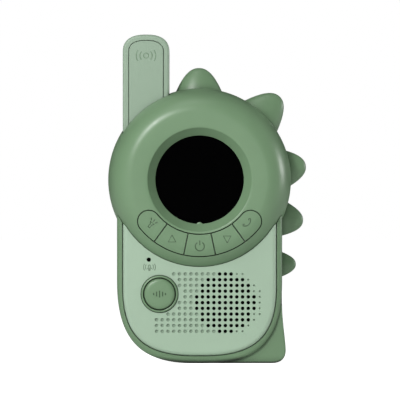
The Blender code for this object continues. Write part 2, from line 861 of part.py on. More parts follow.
def ptt_button():
    """The round push-to-talk cap, hollow behind, with a post that reaches its dome."""
    profile = [(0, 0.0122), (0.0050, 0.01215), (0.0064, 0.0119), (0.0071, 0.0114)]
    profile += [(PTT_RADIUS, 0.0108), (PTT_RADIUS, 0.0068), (0.0084, 0.0068), (0.0084, 0.0058)]
    profile += [(0.0060, 0.0058), (0.0060, 0.0102), (0.0019, 0.0102), (0.0019, 0.0084), (0, 0.0084)]
    button = turned("ptt_button", profile, (PTT[0], 0, PTT[1]), 24)
    finish(button, dark_green())
    move_origin(button, (PTT[0], -0.0058, PTT[1]))
    return button


def ptt_ring():
    profile = [(0.0080, 0.0114), (0.0085, 0.0112), (PTT_RING_RADIUS, 0.0107)]
    profile += [(PTT_RING_RADIUS, 0.0081), (0.0102, 0.0081), (0.0102, 0.0072)]
    profile += [(0.00765, 0.0072), (0.00765, 0.0111)]
    return finish(turned("ptt_ring", profile, (PTT[0], 0, PTT[1]), 24, ring=True), dark_green())


def ptt_dome():
    """The silicone dome under the button, open towards the board."""
    profile = [(0, 0.0081), (0.0022, 0.0081), (0.0026, 0.0077), (0.0036, 0.0058), (0.0052, 0.0055)]
    profile += [(0.0052, 0.0047), (0.0033, 0.0047), (0.0020, 0.0070), (0, 0.0070)]
    return finish(turned("ptt_dome", profile, (PTT[0], 0, PTT[1]), 16), silicone())


def mic_boot():
    """The soft cup that seals the microphone to its hole."""
    profile = [(0.0021, 0.0081), (0.0021, 0.0076), (0.0036, 0.0074), (0.0036, 0.0047)]
    profile += [(0.0031, 0.0047), (0.0031, 0.0069), (0.0009, 0.0069), (0.0009, 0.0081)]
    return finish(turned("mic_boot", profile, (MIC[0], 0, MIC[1]), 16, ring=True), silicone())


def mic_capsule():
    profile = [(0, 0.0066), (0.0028, 0.0066), (0.0028, 0.0047), (0, 0.0047)]
    return finish(turned("mic_capsule", profile, (MIC[0], 0, MIC[1]), 20), steel())


def speaker_cloth():
    profile = [(0, 0.0081), (0.0138, 0.0081), (0.0138, 0.0079), (0, 0.0079)]
    return finish(turned("speaker_cloth", profile, (SPEAKER[0], 0, SPEAKER[1]), 20), cone_paper())


def speaker_frame():
    """The pressed basket, with a terminal tab at the top."""
    profile = [(SPEAKER_RADIUS, 0.0076), (SPEAKER_RADIUS, 0.0069), (0.0128, 0.0067), (0.0095, 0.0036)]
    profile += [(0.0030, 0.0036), (0.0030, 0.0042), (0.0092, 0.0042), (0.0122, 0.0072), (0.0131, 0.0076)]
    frame = turned("speaker_frame", profile, (SPEAKER[0], 0, SPEAKER[1]), 20, ring=True)
    settle(frame)
    tab_z = SPEAKER[1] + 0.0110
    join(frame, block("speaker tab", (0.0072, -0.0062, tab_z), (0.0172, -0.0056, tab_z + 0.0048)))
    return finish(frame, steel())


def speaker_magnet():
    profile = [(0, 0.0033), (0.0080, 0.0033), (0.0080, 0.0006), (0, 0.0006)]
    return finish(turned("speaker_magnet", profile, (SPEAKER[0], 0, SPEAKER[1]), 20), steel())


def speaker_cone():
    """The paper cone with its dust cap, open behind."""
    profile = [(0, 0.0068), (0.0025, 0.0066), (0.0036, 0.0060), (0.0105, 0.0072), (0.0121, 0.0076)]
    profile += [(0.0118, 0.0072), (0.0104, 0.0068), (0.0036, 0.0055), (0.0024, 0.0062), (0, 0.0064)]
    return finish(turned("speaker_cone", profile, (SPEAKER[0], 0, SPEAKER[1]), 20), cone_paper())


def speaker_leads():
    for name, x, material in (
        ("speaker_lead_red", 0.0095, red_wire()),
        ("speaker_lead_black", 0.0135, black_wire()),
    ):
        route = [
            (x, -0.0059, 0.0453),
            (x - 0.0010, -0.0048, 0.0475),
            (x - 0.0020, -0.0023, 0.0490),
            (x - 0.0020, -0.0023, 0.0550),
        ]
        wire(name, smooth_route(route, 3), 0.0005, material)


# ---------------------------------------------------------------- boards


def main_board():
    """One board: a disc in the head and a tongue down to the button and the microphone."""
    disc = circle((0.0, HEAD_Z), BOARD_RADIUS, 48)
    board = slab("main_board", [disc], -BOARD_FRONT, -BOARD_BACK)
    tongue = rectangle(-0.0320, -0.0060, 0.0220, 0.0620)
    join(board, slab("tongue", [tongue], -BOARD_FRONT - 0.00001, -BOARD_BACK + 0.00001))
    settle(board)
    for x, z in screw_places()[: len(HEAD_SCREW_ANGLES)]:
        cut(board, rod("boss notch", (x, -0.0038, z), 0.0032, 0.0060, steps=16))
    cut(board, block("aerial notch", (-0.0500, -0.0080, 0.1010), (-0.0120, 0.0010, 0.1300)))
    return finish(board, board_green())


def radio_chip():
    return finish(block("radio_chip", (-0.0040, -0.0029, 0.0960), (0.0040, -0.0019, 0.1040)), black_plastic())


def rf_shield():
    """A tin can over the radio, open towards the board."""
    can = block("rf_shield", (-0.0110, -0.0029, 0.0890), (0.0110, -0.0004, 0.1110))
    cut(can, block("can hollow", (-0.0106, -0.0040, 0.0894), (0.0106, -0.0008, 0.1106)))
    return finish(can, steel())


def torch_rod(name, radius, inner, outer):
    """A cylinder along the torch's axis, between two distances from the head's centre."""
    turn = math.radians(TORCH_ANGLE)
    middle = (inner + outer) / 2
    place = (middle * math.cos(turn), TORCH_Y, HEAD_Z + middle * math.sin(turn))
    obj = rod(name, place, radius, outer - inner, "Z", 20)
    obj.rotation_euler = (0, math.pi / 2 - turn, 0)
    bpy.context.view_layer.update()
    return obj


def torch_lens():
    return finish(torch_rod("torch_lens", 0.0026, 0.0400, 0.0431), clear_lens())


def torch_led():
    return finish(torch_rod("torch_led", 0.0024, 0.0345, 0.0396), clear_lens())


# ---------------------------------------------------------------- battery bay


def battery_cells():
    """Three AAA cells; the middle one stands the other way up."""
    for number, x in enumerate(CELL_X, 1):
        up = number != 2
        bottom = BAY_BOTTOM + (0.0045 if up else 0.0010)
        profile = [(0, CELL_LENGTH), (0.0019, CELL_LENGTH), (0.0019, CELL_LENGTH - 0.0010)]
        profile += [(CELL_RADIUS, CELL_LENGTH - 0.0010), (CELL_RADIUS, 0), (0, 0)]
        cell = turned(f"battery_cell_{number}", profile, (0, 0, 0), 16)
        settle(cell)
        if not up:
            cell.data.transform(Matrix.Rotation(math.pi, 4, "X"))
            bottom += CELL_LENGTH
        cell.rotation_euler = (0, 0, 0)
        cell.location = (x, CELL_Y, bottom)
        finish(cell, cell_jacket())


def battery_springs():
    for number, x in enumerate(CELL_X, 1):
        bottom = BAY_TOP - 0.0042 if number == 2 else BAY_BOTTOM + 0.0010
        points = coil((x, CELL_Y), 0.0030, bottom + 0.0003, bottom + 0.0029, 2.5, 8)
        wire(f"battery_spring_{number}", points, 0.0003, steel())


def contact_plates():
    """Two terminal plates and two plates that link neighbouring cells."""
    top = (BAY_TOP - 0.0007, BAY_TOP - 0.0003)
    bottom = (BAY_BOTTOM + 0.0003, BAY_BOTTOM + 0.0007)
    plates = (
        ("terminal_plate_plus", 0.0070, 0.0150, top),
        ("link_plate_top", -0.0150, 0.0040, top),
        ("terminal_plate_minus", -0.0150, -0.0070, bottom),
        ("link_plate_bottom", -0.0040, 0.0150, bottom),
    )
    for name, left, right, (low, high) in plates:
        finish(block(name, (left, 0.0025, low), (right, 0.0102, high)), steel())


def battery_leads():
    top = BAY_TOP
    red = [
        (CELL_X[2], 0.0040, top + 0.0001),
        (CELL_X[2], 0.0040, top + 0.0065),
        (CELL_X[2], 0.0030, top + 0.0100),
        (CELL_X[2] - 0.0005, -0.0010, top + 0.0125),
        (CELL_X[2] - 0.0005, -0.0023, top + 0.0165),
    ]
    wire("battery_lead_red", smooth_route(red, 3), 0.0006, red_wire())
    foot = BAY_BOTTOM + 0.0033
    black = [
        (-0.0168, 0.0040, foot),
        (-0.0202, 0.0040, foot),
        (-0.0215, 0.0040, foot + 0.0010),
        (-0.0217, 0.0038, foot + 0.0040),
        (-0.0217, 0.0035, foot + 0.0120),
        (-0.0217, 0.0030, foot + 0.0320),
        (-0.0217, 0.0020, top + 0.0025),
        (-0.0216, -0.0002, top + 0.0085),
        (-0.0200, -0.0023, top + 0.0140),
    ]
    wire("battery_lead_black", smooth_route(black, 3), 0.0006, black_wire())


def cover_outline(growth):
    corners = rectangle(-COVER_HALF_WIDTH, COVER_HALF_WIDTH, COVER_BOTTOM, COVER_TOP)
    radius = 0.0025
    outline = []
    for index, (x, z) in enumerate(corners):
        inner = (x - math.copysign(radius, x), z + (radius if index < 2 else -radius))
        start = (180, 270, 0, 90)[index]
        outline += arc(inner, radius, start, start + 90, 4)
    return grown(outline, growth)


def battery_cover():
    """The door: a flat plate with two hooked tabs at its foot and a screw at its head."""
    cover = slab("battery_cover", [cover_outline(0.0)], COVER_FRONT, CASE_BACK)
    foot = COVER_BOTTOM
    for x in (-TAB_X, TAB_X):
        root = block("tab root", (x - 0.0030, 0.0109, foot + 0.0003), (x + 0.0030, 0.0125, foot + 0.0023))
        tab = block("tab", (x - 0.0028, 0.01095, foot - 0.0016), (x + 0.0028, 0.0119, foot + 0.0007))
        join(cover, root, tab)
    cut(cover, rod("cover screw sink", (0, 0.0150, COVER_SCREW_Z), 0.0025, 0.0040, steps=20))
    cut(cover, rod("cover screw hole", (0, 0.0120, COVER_SCREW_Z), 0.0014, 0.0040, steps=12))
    finish(cover, dark_green())
    move_origin(cover, (0, 0.0138, foot + 0.0002))
    return cover


def screw(name, place, head_radius, head_back, head_height, shank_radius, tip):
    """A pan-head screw that points to the front: place is x and z, head_back and tip are depths."""
    seat = head_back - head_height
    profile = [(0, -tip), (shank_radius * 0.6, -tip), (shank_radius, -tip - 0.0006)]
    profile += [(shank_radius, -seat), (head_radius, -seat), (head_radius, -head_back + 0.0004)]
    profile += [(head_radius - 0.0004, -head_back), (0, -head_back)]
    obj = turned(name, profile, (place[0], 0, place[1]), 12)
    settle(obj)
    arm = head_radius * 0.62
    for long_x, long_z in ((arm, 0.00025), (0.00025, arm)):
        low = (place[0] - long_x, head_back - 0.0007, place[1] - long_z)
        high = (place[0] + long_x, head_back + 0.0010, place[1] + long_z)
        cut(obj, block("driver slot", low, high))
    finish(obj, steel())
    move_origin(obj, (place[0], head_back, place[1]))
    return obj


def screws():
    screw("cover_screw", (0, COVER_SCREW_Z), 0.0022, 0.0140, 0.0007, 0.0011, 0.0060)
    for number, place in enumerate(screw_places(), 1):
        screw(f"case_screw_{number}", place, 0.0024, 0.0060, 0.0017, 0.0010, -0.0065)


# ---------------------------------------------------------------- belt clip


def belt_clip():
    """The sprung clip: a long tongue with a hooked end, a thumb tab above and two knuckles on the pin."""
    tongue = slab(
        "belt_clip",
        [rectangle(-CLIP_HALF_WIDTH, CLIP_HALF_WIDTH, CLIP_BOTTOM, CLIP_TOP)],
        CLIP_INNER,
        CLIP_OUTER,
    )
    round_upright_edges(tongue, 0.0030)
    hook = block(
        "clip hook", (-0.0078, 0.0160, CLIP_BOTTOM + 0.0004), (0.0078, 0.0200, CLIP_BOTTOM + 0.0024), 0.0006
    )
    join(tongue, hook)
    for side in (-1, 1):
        join(tongue, rod("knuckle", (side * 0.0038, CLIP_Y, CLIP_Z), 0.0024, 0.0022, "X", 20))
        join(
            tongue,
            block(
                "knuckle web",
                (side * 0.0038 - 0.00109, CLIP_Y, CLIP_Z - 0.0022),
                (side * 0.0038 + 0.00109, 0.0200, CLIP_Z + 0.0022),
            ),
        )
    settle(tongue)
    cut(tongue, rod("clip hole", (0, CLIP_Y, CLIP_Z), 0.0013, 0.0300, "X", 16))
    finish(tongue, dark_green())
    move_origin(tongue, (0, CLIP_Y, CLIP_Z))
    return tongue


def round_upright_edges(obj, radius):
    """Rounds the corners of a slab's outline."""
    placed = obj.matrix_world
    shape = bmesh.new()
    shape.from_mesh(obj.data)
    edges = []
    for edge in shape.edges:
        run = placed @ edge.verts[1].co - placed @ edge.verts[0].co
        if abs(run.y) > 0.9 * run.length and edge.calc_face_angle(0) > 0.5:
            edges.append(edge)
    bmesh.ops.bevel(shape, geom=edges, offset=radius, segments=4, profile=0.5, affect="EDGES")
    shape.to_mesh(obj.data)
    shape.free()


def clip_pin():
    return finish(rod("clip_pin", (0, CLIP_Y, CLIP_Z), 0.0010, 0.0160, "X", 16), steel())


def clip_spring():
    """A torsion spring around the pin, one arm on the case and one on the clip's thumb tab."""
    radius = 0.0017
    turns = 3
    per_turn = 8
    last = turns * per_turn + per_turn // 2
    points = [(-0.0018, CLIP_Y - radius, CLIP_Z + 0.0050), (-0.0018, CLIP_Y - radius, CLIP_Z + 0.0020)]
    for step in range(last + 1):
        angle = math.pi + 2 * math.pi * step / per_turn
        x = -0.0018 + 0.0036 * step / last
        points.append((x, CLIP_Y + radius * math.cos(angle), CLIP_Z - radius * math.sin(angle)))
    points += [(0.0018, CLIP_Y + radius, CLIP_Z + 0.0020), (0.0018, CLIP_Y + radius, CLIP_Z + 0.0050)]
    return wire("clip_spring", points, 0.0003, steel())


# ---------------------------------------------------------------- assembly


clear_scene()
PARTS = new_collection("toy walkie talkie")
CUTTERS = new_collection("cutters")

rear_shell()
front_panel()
head_bezel()
antenna_housing()
antenna_cover()
antenna_coil()
antenna_lead()
screen_lens()
display_module()
display_frame()
keys()
keypad_mat()
ptt_button()
ptt_ring()
ptt_dome()
mic_boot()
mic_capsule()
speaker_cloth()
speaker_frame()
speaker_magnet()
speaker_cone()
speaker_leads()
main_board()
radio_chip()
rf_shield()
torch_lens()
torch_led()
battery_cells()
battery_springs()
contact_plates()
battery_leads()
battery_cover()
screws()
belt_clip()
clip_pin()
clip_spring()
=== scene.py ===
import math

import bmesh
import bpy
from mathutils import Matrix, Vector


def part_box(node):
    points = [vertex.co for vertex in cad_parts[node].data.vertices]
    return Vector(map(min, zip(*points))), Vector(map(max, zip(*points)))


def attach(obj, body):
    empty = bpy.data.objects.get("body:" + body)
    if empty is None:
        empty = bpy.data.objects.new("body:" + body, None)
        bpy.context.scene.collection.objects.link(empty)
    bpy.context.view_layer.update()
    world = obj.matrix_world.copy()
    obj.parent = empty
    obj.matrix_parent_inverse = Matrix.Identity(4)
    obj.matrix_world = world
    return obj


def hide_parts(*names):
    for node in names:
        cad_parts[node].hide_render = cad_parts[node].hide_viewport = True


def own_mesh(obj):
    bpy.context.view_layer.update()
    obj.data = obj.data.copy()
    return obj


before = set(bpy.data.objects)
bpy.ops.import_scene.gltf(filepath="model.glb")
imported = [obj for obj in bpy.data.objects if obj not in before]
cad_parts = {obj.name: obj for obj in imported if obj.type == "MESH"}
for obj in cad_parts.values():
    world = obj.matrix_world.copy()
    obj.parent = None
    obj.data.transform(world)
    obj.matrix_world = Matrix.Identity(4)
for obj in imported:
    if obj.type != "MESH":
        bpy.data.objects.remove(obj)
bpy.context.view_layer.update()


# ---------------------------------------------------------------- rear shell
# The dark green half that carries everything: body tub, round head disc, five dragon spikes, tail.
# It is one ABS moulding with a fine spark-eroded skin, with screw posts and the battery bay inside.

MM = 0.001
GAP = 0.3 * MM  # between pieces that touch


def middle_of(node):
    """The middle x, z of a CAD piece."""
    low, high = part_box(node)
    return (low.x + high.x) / 2, (low.z + high.z) / 2


BEZEL_LOW, BEZEL_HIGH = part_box("head_bezel")
HEAD_Z = middle_of("screen_lens")[1]
HEAD_RADIUS = (BEZEL_HIGH.x - BEZEL_LOW.x) / 2
CREST_RADIUS = 31.5 * MM  # where the puffy ring stands highest
CREST_HEIGHT = 17.0 * MM
SIDE = 39.1 * MM  # the tub's half width
SHELL_BACK = 14.0 * MM
TUB_FRONT = 9.0 * MM
TAIL_FRONT = 6.5 * MM
TAIL_TOP = 28.0 * MM
SCREW_PLACES = [middle_of(f"case_screw_{number}") for number in range(1, 6)]
SPIKES = (  # tip x and z, height, half width at its foot, and the way it points, in degrees
    (-0.3, 140.2, 10.7, 10.7, 90),
    (38.2, 126.6, 13.2, 10.8, 46),
    (50.63, 93.7, 8.7, 8.6, 8),
    (49.3, 67.1, 8.9, 8.1, -8),
    (45.9, 46.7, 6.7, 5.9, 0),
)
SPIKE_Y = 6.8 * MM
COVER_LOW, COVER_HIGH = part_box("battery_cover")


def arc(centre, radius, start, end, steps):
    """Points x, z on an arc, its angles in degrees, anticlockwise from the right."""
    turns = [math.radians(start + (end - start) * step / steps) for step in range(steps + 1)]
    return [(centre[0] + radius * math.cos(t), centre[1] + radius * math.sin(t)) for t in turns]


def curve(points, steps):
    """Points x, z on a Bezier curve; the four given points are in millimetres."""
    line = []
    for step in range(steps + 1):
        t = step / steps
        shares = ((1 - t) ** 3, 3 * (1 - t) ** 2 * t, 3 * (1 - t) * t * t, t**3)
        line.append(tuple(MM * sum(s * p[i] for s, p in zip(shares, points)) for i in (0, 1)))
    return line


def mirrored(line):
    return [(-x, z) for x, z in reversed(line)]


def grown(outline, distance):
    """An anticlockwise outline with every side moved out, or in where the distance is negative."""
    moved = []
    for index, here in enumerate(outline):
        here = Vector(here)
        run_in = (here - Vector(outline[index - 1])).normalized()
        run_out = (Vector(outline[(index + 1) % len(outline)]) - here).normalized()
        out = Vector((run_out.y, -run_out.x))
        middle = (Vector((run_in.y, -run_in.x)) + out).normalized()
        moved.append(tuple(here + middle * (distance / middle.dot(out))))
    return moved


def draw(name, points):
    """A line drawn by extruding one point from place to place, left in edit mode, all selected."""
    if bpy.context.object and bpy.context.object.mode == "EDIT":
        bpy.ops.object.mode_set(mode="OBJECT")
    bpy.ops.object.select_all(action="DESELECT")
    bpy.ops.mesh.primitive_plane_add(size=MM, location=points[0])
    piece = bpy.context.active_object
    piece.name = name
    bpy.ops.object.mode_set(mode="EDIT")
    bpy.ops.mesh.select_mode(type="VERT")
    bpy.ops.mesh.merge(type="CENTER")
    for here, there in zip(points, points[1:]):
        step = Vector(there) - Vector(here)
        bpy.ops.mesh.extrude_vertices_move(TRANSFORM_OT_translate={"value": step})
    bpy.ops.mesh.select_all(action="SELECT")
    return piece


def leave(piece):
    """Out of edit mode, faces outwards, with the piece's place kept in its mesh."""
    bpy.ops.mesh.select_all(action="SELECT")
    bpy.ops.mesh.remove_doubles(threshold=0.002 * MM)
    bpy.ops.mesh.normals_make_consistent(inside=False)
    bpy.ops.object.mode_set(mode="OBJECT")
    bpy.ops.object.transform_apply(location=True, rotation=True, scale=True)
    return piece


def plate(name, outline, front, back, rounding=0.0, segments=6):
    """A flat plate between two depths, with the edge round its front face rounded."""
    piece = draw(name, [(x, back, z) for x, z in outline])
    bpy.ops.mesh.edge_face_add()
    bpy.ops.mesh.extrude_region_move(TRANSFORM_OT_translate={"value": (0, front - back, 0)})
    if rounding:
        bpy.ops.mesh.bevel(offset=rounding, segments=segments, clamp_overlap=False)
    return leave(piece)


def turned(name, profile, centre, steps=96, axis=(0, 1, 0)):
    """A piece spun about an axis. The profile gives radius and height to the front, in mm."""
    if axis[1]:
        line = [(centre[0] + r * MM, -h * MM, centre[1]) for r, h in profile]
        middle = (centre[0], 0, centre[1])
    else:
        line = [(centre[0] + r * MM, centre[1], centre[2] + h * MM) for r, h in profile]
        middle = centre
    piece = draw(name, line)
    bpy.ops.mesh.spin(steps=steps, angle=2 * math.pi, center=middle, axis=axis)
    return leave(piece)


def rod(name, place, radius, length, axis="Y", steps=32):
    """A cylinder by its middle, along one axis."""
    bpy.ops.object.select_all(action="DESELECT")
    turn = {"X": (0, math.pi / 2, 0), "Y": (math.pi / 2, 0, 0), "Z": (0, 0, 0)}[axis]
    bpy.ops.mesh.primitive_cylinder_add(
        vertices=steps, radius=radius, depth=length, location=place, rotation=turn
    )
    bpy.context.active_object.name = name
    bpy.ops.object.transform_apply(location=True, rotation=True, scale=True)
    return bpy.context.active_object


def block(name, low, high, rounding=0.0):
    """A box between two corners, with its edges rounded."""
    bpy.ops.object.select_all(action="DESELECT")
    middle = (Vector(low) + Vector(high)) / 2
    bpy.ops.mesh.primitive_cube_add(size=1, location=middle, scale=Vector(high) - Vector(low))
    piece = bpy.context.active_object
    piece.name = name
    bpy.ops.object.transform_apply(location=True, rotation=True, scale=True)
    if rounding:
        bpy.ops.object.mode_set(mode="EDIT")
        bpy.ops.mesh.select_all(action="SELECT")
        bpy.ops.mesh.bevel(offset=rounding, segments=4)
        bpy.ops.object.mode_set(mode="OBJECT")
    return piece


def combine(piece, operation, tools):
    for tool in tools:
        modifier = piece.modifiers.new(operation, "BOOLEAN")
        modifier.operation = operation
        modifier.solver = "EXACT"
        modifier.object = tool
        bpy.context.view_layer.objects.active = piece
        bpy.ops.object.modifier_apply(modifier=modifier.name)
        bpy.data.objects.remove(tool)


def cut(piece, *tools):
    combine(piece, "DIFFERENCE", tools)


def join(piece, *tools):
    combine(piece, "UNION", tools)


def smooth(piece, material, angle=32):
    """The piece's material, and smooth shading with edges sharp past an angle, in degrees."""
    bpy.ops.object.select_all(action="DESELECT")
    piece.select_set(True)
    bpy.context.view_layer.objects.active = piece
    bpy.ops.object.shade_smooth_by_angle(angle=math.radians(angle))
    flat = piece.modifiers.new("flat faces", "WEIGHTED_NORMAL")
    flat.keep_sharp = True
    bpy.ops.object.modifier_apply(modifier=flat.name)
    piece.data.materials.clear()
    piece.data.materials.append(material)


def stands_for(piece, node, body):
    """The piece takes its CAD node's place on that node's body."""
    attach(piece, body)
    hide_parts(node)


def ring_height(radius, grow=0.0):
    """How far the head's puffy ring stands out at a radius, in millimetres."""
    crest, edge = CREST_RADIUS / MM, HEAD_RADIUS / MM
    if radius >= crest:
        part = min(1.0, (radius - crest) / (edge - crest + grow))
        return (CREST_HEIGHT / MM + grow) * math.sqrt(1 - part * part)
    part = (crest - radius) / 7.0
    return CREST_HEIGHT / MM + grow - 0.5 * (1 - math.sqrt(max(0.0, 1 - part * part)))


def ring_slope(wall, foot, steps):
    """The ring's outer slope from its crest to its rim, brought in by a wall, in millimetres."""
    reach = (HEAD_RADIUS - CREST_RADIUS) / MM - wall
    line = []
    for step in range(steps + 1):
        turn = math.radians(90 - 90 * step / steps)
        height = (CREST_HEIGHT / MM - wall) * math.sin(turn)
        line.append((CREST_RADIUS / MM + reach * math.cos(turn), max(height, foot)))
    return line


def head_space():
    """All that the bezel takes up, with a gap round it, for cutting its neighbours."""
    line = [(0, 20), (30.5, 20)] + ring_slope(-GAP / MM, 0.0, 24)
    line += [(line[-1][0], -0.15), (0, -0.15)]
    return turned("head space", line, (0, HEAD_Z))


def shader_group(name, inputs, outputs):
    """A node group with named inputs and outputs, and its two end nodes."""
    group = bpy.data.node_groups.new(name, "ShaderNodeTree")
    for label, value in inputs.items():
        socket = group.interface.new_socket(label, in_out="INPUT", socket_type="NodeSocketFloat")
        socket.default_value = value
    for label in outputs:
        group.interface.new_socket(label, in_out="OUTPUT", socket_type="NodeSocketFloat")
    return group, group.nodes.new("NodeGroupInput"), group.nodes.new("NodeGroupOutput")


def feed(tree, node, links):
    """Sets a node's inputs. Each link names an input and gives a socket or a value."""
    for name, source in links.items():
        if isinstance(source, bpy.types.NodeSocket):
            tree.links.new(source, node.inputs[name])
        else:
            node.inputs[name].default_value = source
    return node


def add_node(tree, kind, links=None, **settings):
    node = tree.nodes.new(kind)
    for name, value in settings.items():
        setattr(node, name, value)
    return feed(tree, node, links or {})


def own_space(tree):
    """Where a spot lies in its own piece, in metres."""
    return tree.nodes.new("ShaderNodeTexCoord").outputs["Object"]


def noise(tree, scale, detail, roughness=0.5, place=None):
    links = {"Vector": place or own_space(tree), "Scale": scale}
    links.update({"Detail": detail, "Roughness": roughness})
    return add_node(tree, "ShaderNodeTexNoise", links).outputs["Fac"]


def ranged(tree, value, old=(0.0, 1.0), new=(0.0, 1.0)):
    """A value moved from one range to another."""
    links = {"Value": value, "From Min": old[0], "From Max": old[1]}
    links.update({"To Min": new[0], "To Max": new[1]})
    return add_node(tree, "ShaderNodeMapRange", links).outputs["Result"]


def scaled(tree, source, factor):
    links = {0: source, 1: factor}
    return add_node(tree, "ShaderNodeMath", links, operation="MULTIPLY").outputs[0]


def shade(colour, factor):
    return (*(min(1.0, c * factor) for c in colour), 1.0)


def blend_colours(tree, share, first, second):
    """A colour between two, by a mask. Each is a colour or a socket."""
    links = {0: share, 6: first, 7: second}
    return add_node(tree, "ShaderNodeMix", links, data_type="RGBA").outputs[2]


def emboss(tree, surface, height, strength, depth):
    """Fine relief on a surface, its depth in millimetres."""
    links = {"Height": height, "Strength": strength, "Distance": depth * MM}
    relief = add_node(tree, "ShaderNodeBump", links)
    feed(tree, surface, {"Normal": relief.outputs["Normal"]})


def moulded_skin():
    """The skin of a moulded part: fine eroded grain, slow mottling, and patches handled smooth."""
    sizes = {"Grain per metre": 2600.0, "Mottle per metre": 70.0}
    group, given, made = shader_group("moulded skin", sizes, ("Grain", "Mottle", "Gloss"))
    grain = noise(group, given.outputs["Grain per metre"], 3.0, 0.55)
    mottle = noise(group, given.outputs["Mottle per metre"], 4.0, 0.6)
    feed(group, made, {"Grain": grain, "Mottle": mottle, "Gloss": noise(group, 180.0, 5.0, 0.7)})
    return group


def rubbed_edges_and_crease_shade():
    """Where hands have rubbed the edges, and a painted-shade mask for how far into a hollow a spot
    lies.
    """
    sizes = {"Edge width": 0.4 * MM, "Crease reach": 4.0 * MM}
    group, given, made = shader_group("rubbed edges and painted hollow shade", sizes, ("Edge", "Painted hollow shade"))
    width = {"Radius": given.outputs["Edge width"]}
    rounded_normal = add_node(group, "ShaderNodeBevel", width, samples=4).outputs["Normal"]
    normal = group.nodes.new("ShaderNodeNewGeometry").outputs["Normal"]
    both = {0: rounded_normal, 1: normal}
    facing = add_node(group, "ShaderNodeVectorMath", both, operation="DOT_PRODUCT")
    edge = ranged(group, facing.outputs["Value"], (0.995, 0.90))
    reach = {"Distance": given.outputs["Crease reach"]}
    # Painted shade: an occlusion mask marks hollows and recesses for darkening.
    occlusion = add_node(group, "ShaderNodeAmbientOcclusion", reach, samples=6).outputs["AO"]
    patchy = scaled(group, edge, noise(group, 420.0, 3.0))
    feed(group, made, {"Edge": patchy, "Painted hollow shade": ranged(group, occlusion, (0.9, 0.25))})
    return group


SKIN = moulded_skin()
EDGES_AND_CREASE_SHADE = rubbed_edges_and_crease_shade()


def new_material(name):
    material = bpy.data.materials.new(name)
    material.use_nodes = True
    tree = material.node_tree
    return material, tree, tree.nodes["Principled BSDF"]


def moulded_plastic(name, colour, roughness, grain=2600.0, bump=0.25, crease_shade=0.45, specular=0.5):
    """Moulded plastic: mottled colour, paler rubbed edges, painted shade darkening its hollows,
    eroded grain.
    """
    material, tree, surface = new_material(name)
    skin = add_node(tree, "ShaderNodeGroup", {"Grain per metre": grain}, node_tree=SKIN)
    marks = add_node(tree, "ShaderNodeGroup", node_tree=EDGES_AND_CREASE_SHADE)
    body = blend_colours(tree, skin.outputs["Mottle"], shade(colour, 0.95), shade(colour, 1.05))
    edge = scaled(tree, marks.outputs["Edge"], 0.35)
    body = blend_colours(tree, edge, body, shade(colour, 1.35))
    # Painted shade: hollows and recesses are darkened towards 0.12 of the colour.
    painted_shade = scaled(tree, marks.outputs["Painted hollow shade"], crease_shade)
    body = blend_colours(tree, painted_shade, body, shade(colour, 0.12))
    gloss = (roughness - 0.05, roughness + 0.05)
    gloss = ranged(tree, skin.outputs["Gloss"], (0.25, 0.75), gloss)
    feed(tree, surface, {"Base Color": body, "Roughness": gloss, "Specular IOR Level": specular})
    emboss(tree, surface, skin.outputs["Grain"], bump, 0.02)
    return material


DARK_GREEN = (0.180, 0.297, 0.168)
# Painted shade darkens these plastics' hollows, by the last number given.
dark_green = moulded_plastic("dark green ABS", DARK_GREEN, 0.36, crease_shade=0.75)
# Painted shade: the same dark green ABS as the bezel, made 7 percent darker to stand for shade on
# the shell.
shell_painted_shade_green = moulded_plastic("shell plastic darkened as painted shade", shade(DARK_GREEN, 0.93)[:3], 0.38, crease_shade=1.0)

tub_corner = curve(((-39.1, 38.4), (-39.1, 8.0), (-25.0, 0.0), (-2.5, 0.0)), 32)
tail_edge = curve(((34.0, 0.0), (38.6, 0.0), (40.85, 2.2), (40.85, 6.3)), 14)
tail_edge += curve(((40.85, 6.3), (40.85, 11.0), (39.1, 20.0), (39.1, 28.0)), 14)[1:]
shoulder = math.degrees(math.acos(SIDE / HEAD_RADIUS))
case_outline = tail_edge + arc((0, HEAD_Z), HEAD_RADIUS, -shoulder, 180 + shoulder, 120)
case_outline += tub_corner
tub_outline = tub_corner + mirrored(tub_corner) + [(SIDE, 76 * MM), (-SIDE, 76 * MM)]
panel_corner = curve(((-36.3, 36.0), (-36.3, 12.5), (-26.0, 3.7), (-2.0, 3.7)), 32)
panel_outline = panel_corner + mirrored(panel_corner)
panel_outline += [(36.3 * MM, 74 * MM), (-36.3 * MM, 74 * MM)]


def spike(tip_x, tip_z, height, half_width, angle):
    """A blunt spike: spun upright, flattened front to back, then aimed."""
    line = [(0, 0)]
    for part in (0.004, 0.015, 0.035, 0.07, 0.12, 0.19, 0.28, 0.40, 0.55, 0.75, 1.0, 1.45):
        line.append((half_width * part**0.45, -height * part))
    line.append((0, -height * 1.45))
    piece = turned("spike", line, (0, 0, 0), 64, (0, 0, 1))
    piece.scale = (1, 0.55, 1)
    piece.rotation_euler = (0, math.radians(90 - angle), 0)
    piece.location = (tip_x * MM, SPIKE_Y, tip_z * MM)
    bpy.ops.object.transform_apply(location=True, rotation=True, scale=True)
    return piece


def round_rectangle(low_x, low_z, high_x, high_z, radius):
    """A rectangle's outline with round corners."""
    left, right, foot, top = low_x + radius, high_x - radius, low_z + radius, high_z - radius
    outline = []
    corners = ((left, foot), (right, foot), (right, top), (left, top))
    for corner, start in zip(corners, (180, 270, 0, 90)):
        outline += arc(corner, radius, start, start + 90, 10)
    return outline


DOOR_FOOT = 7.5 * MM
cover_outline = round_rectangle(COVER_LOW.x, DOOR_FOOT, COVER_HIGH.x, COVER_HIGH.z, 2.5 * MM)


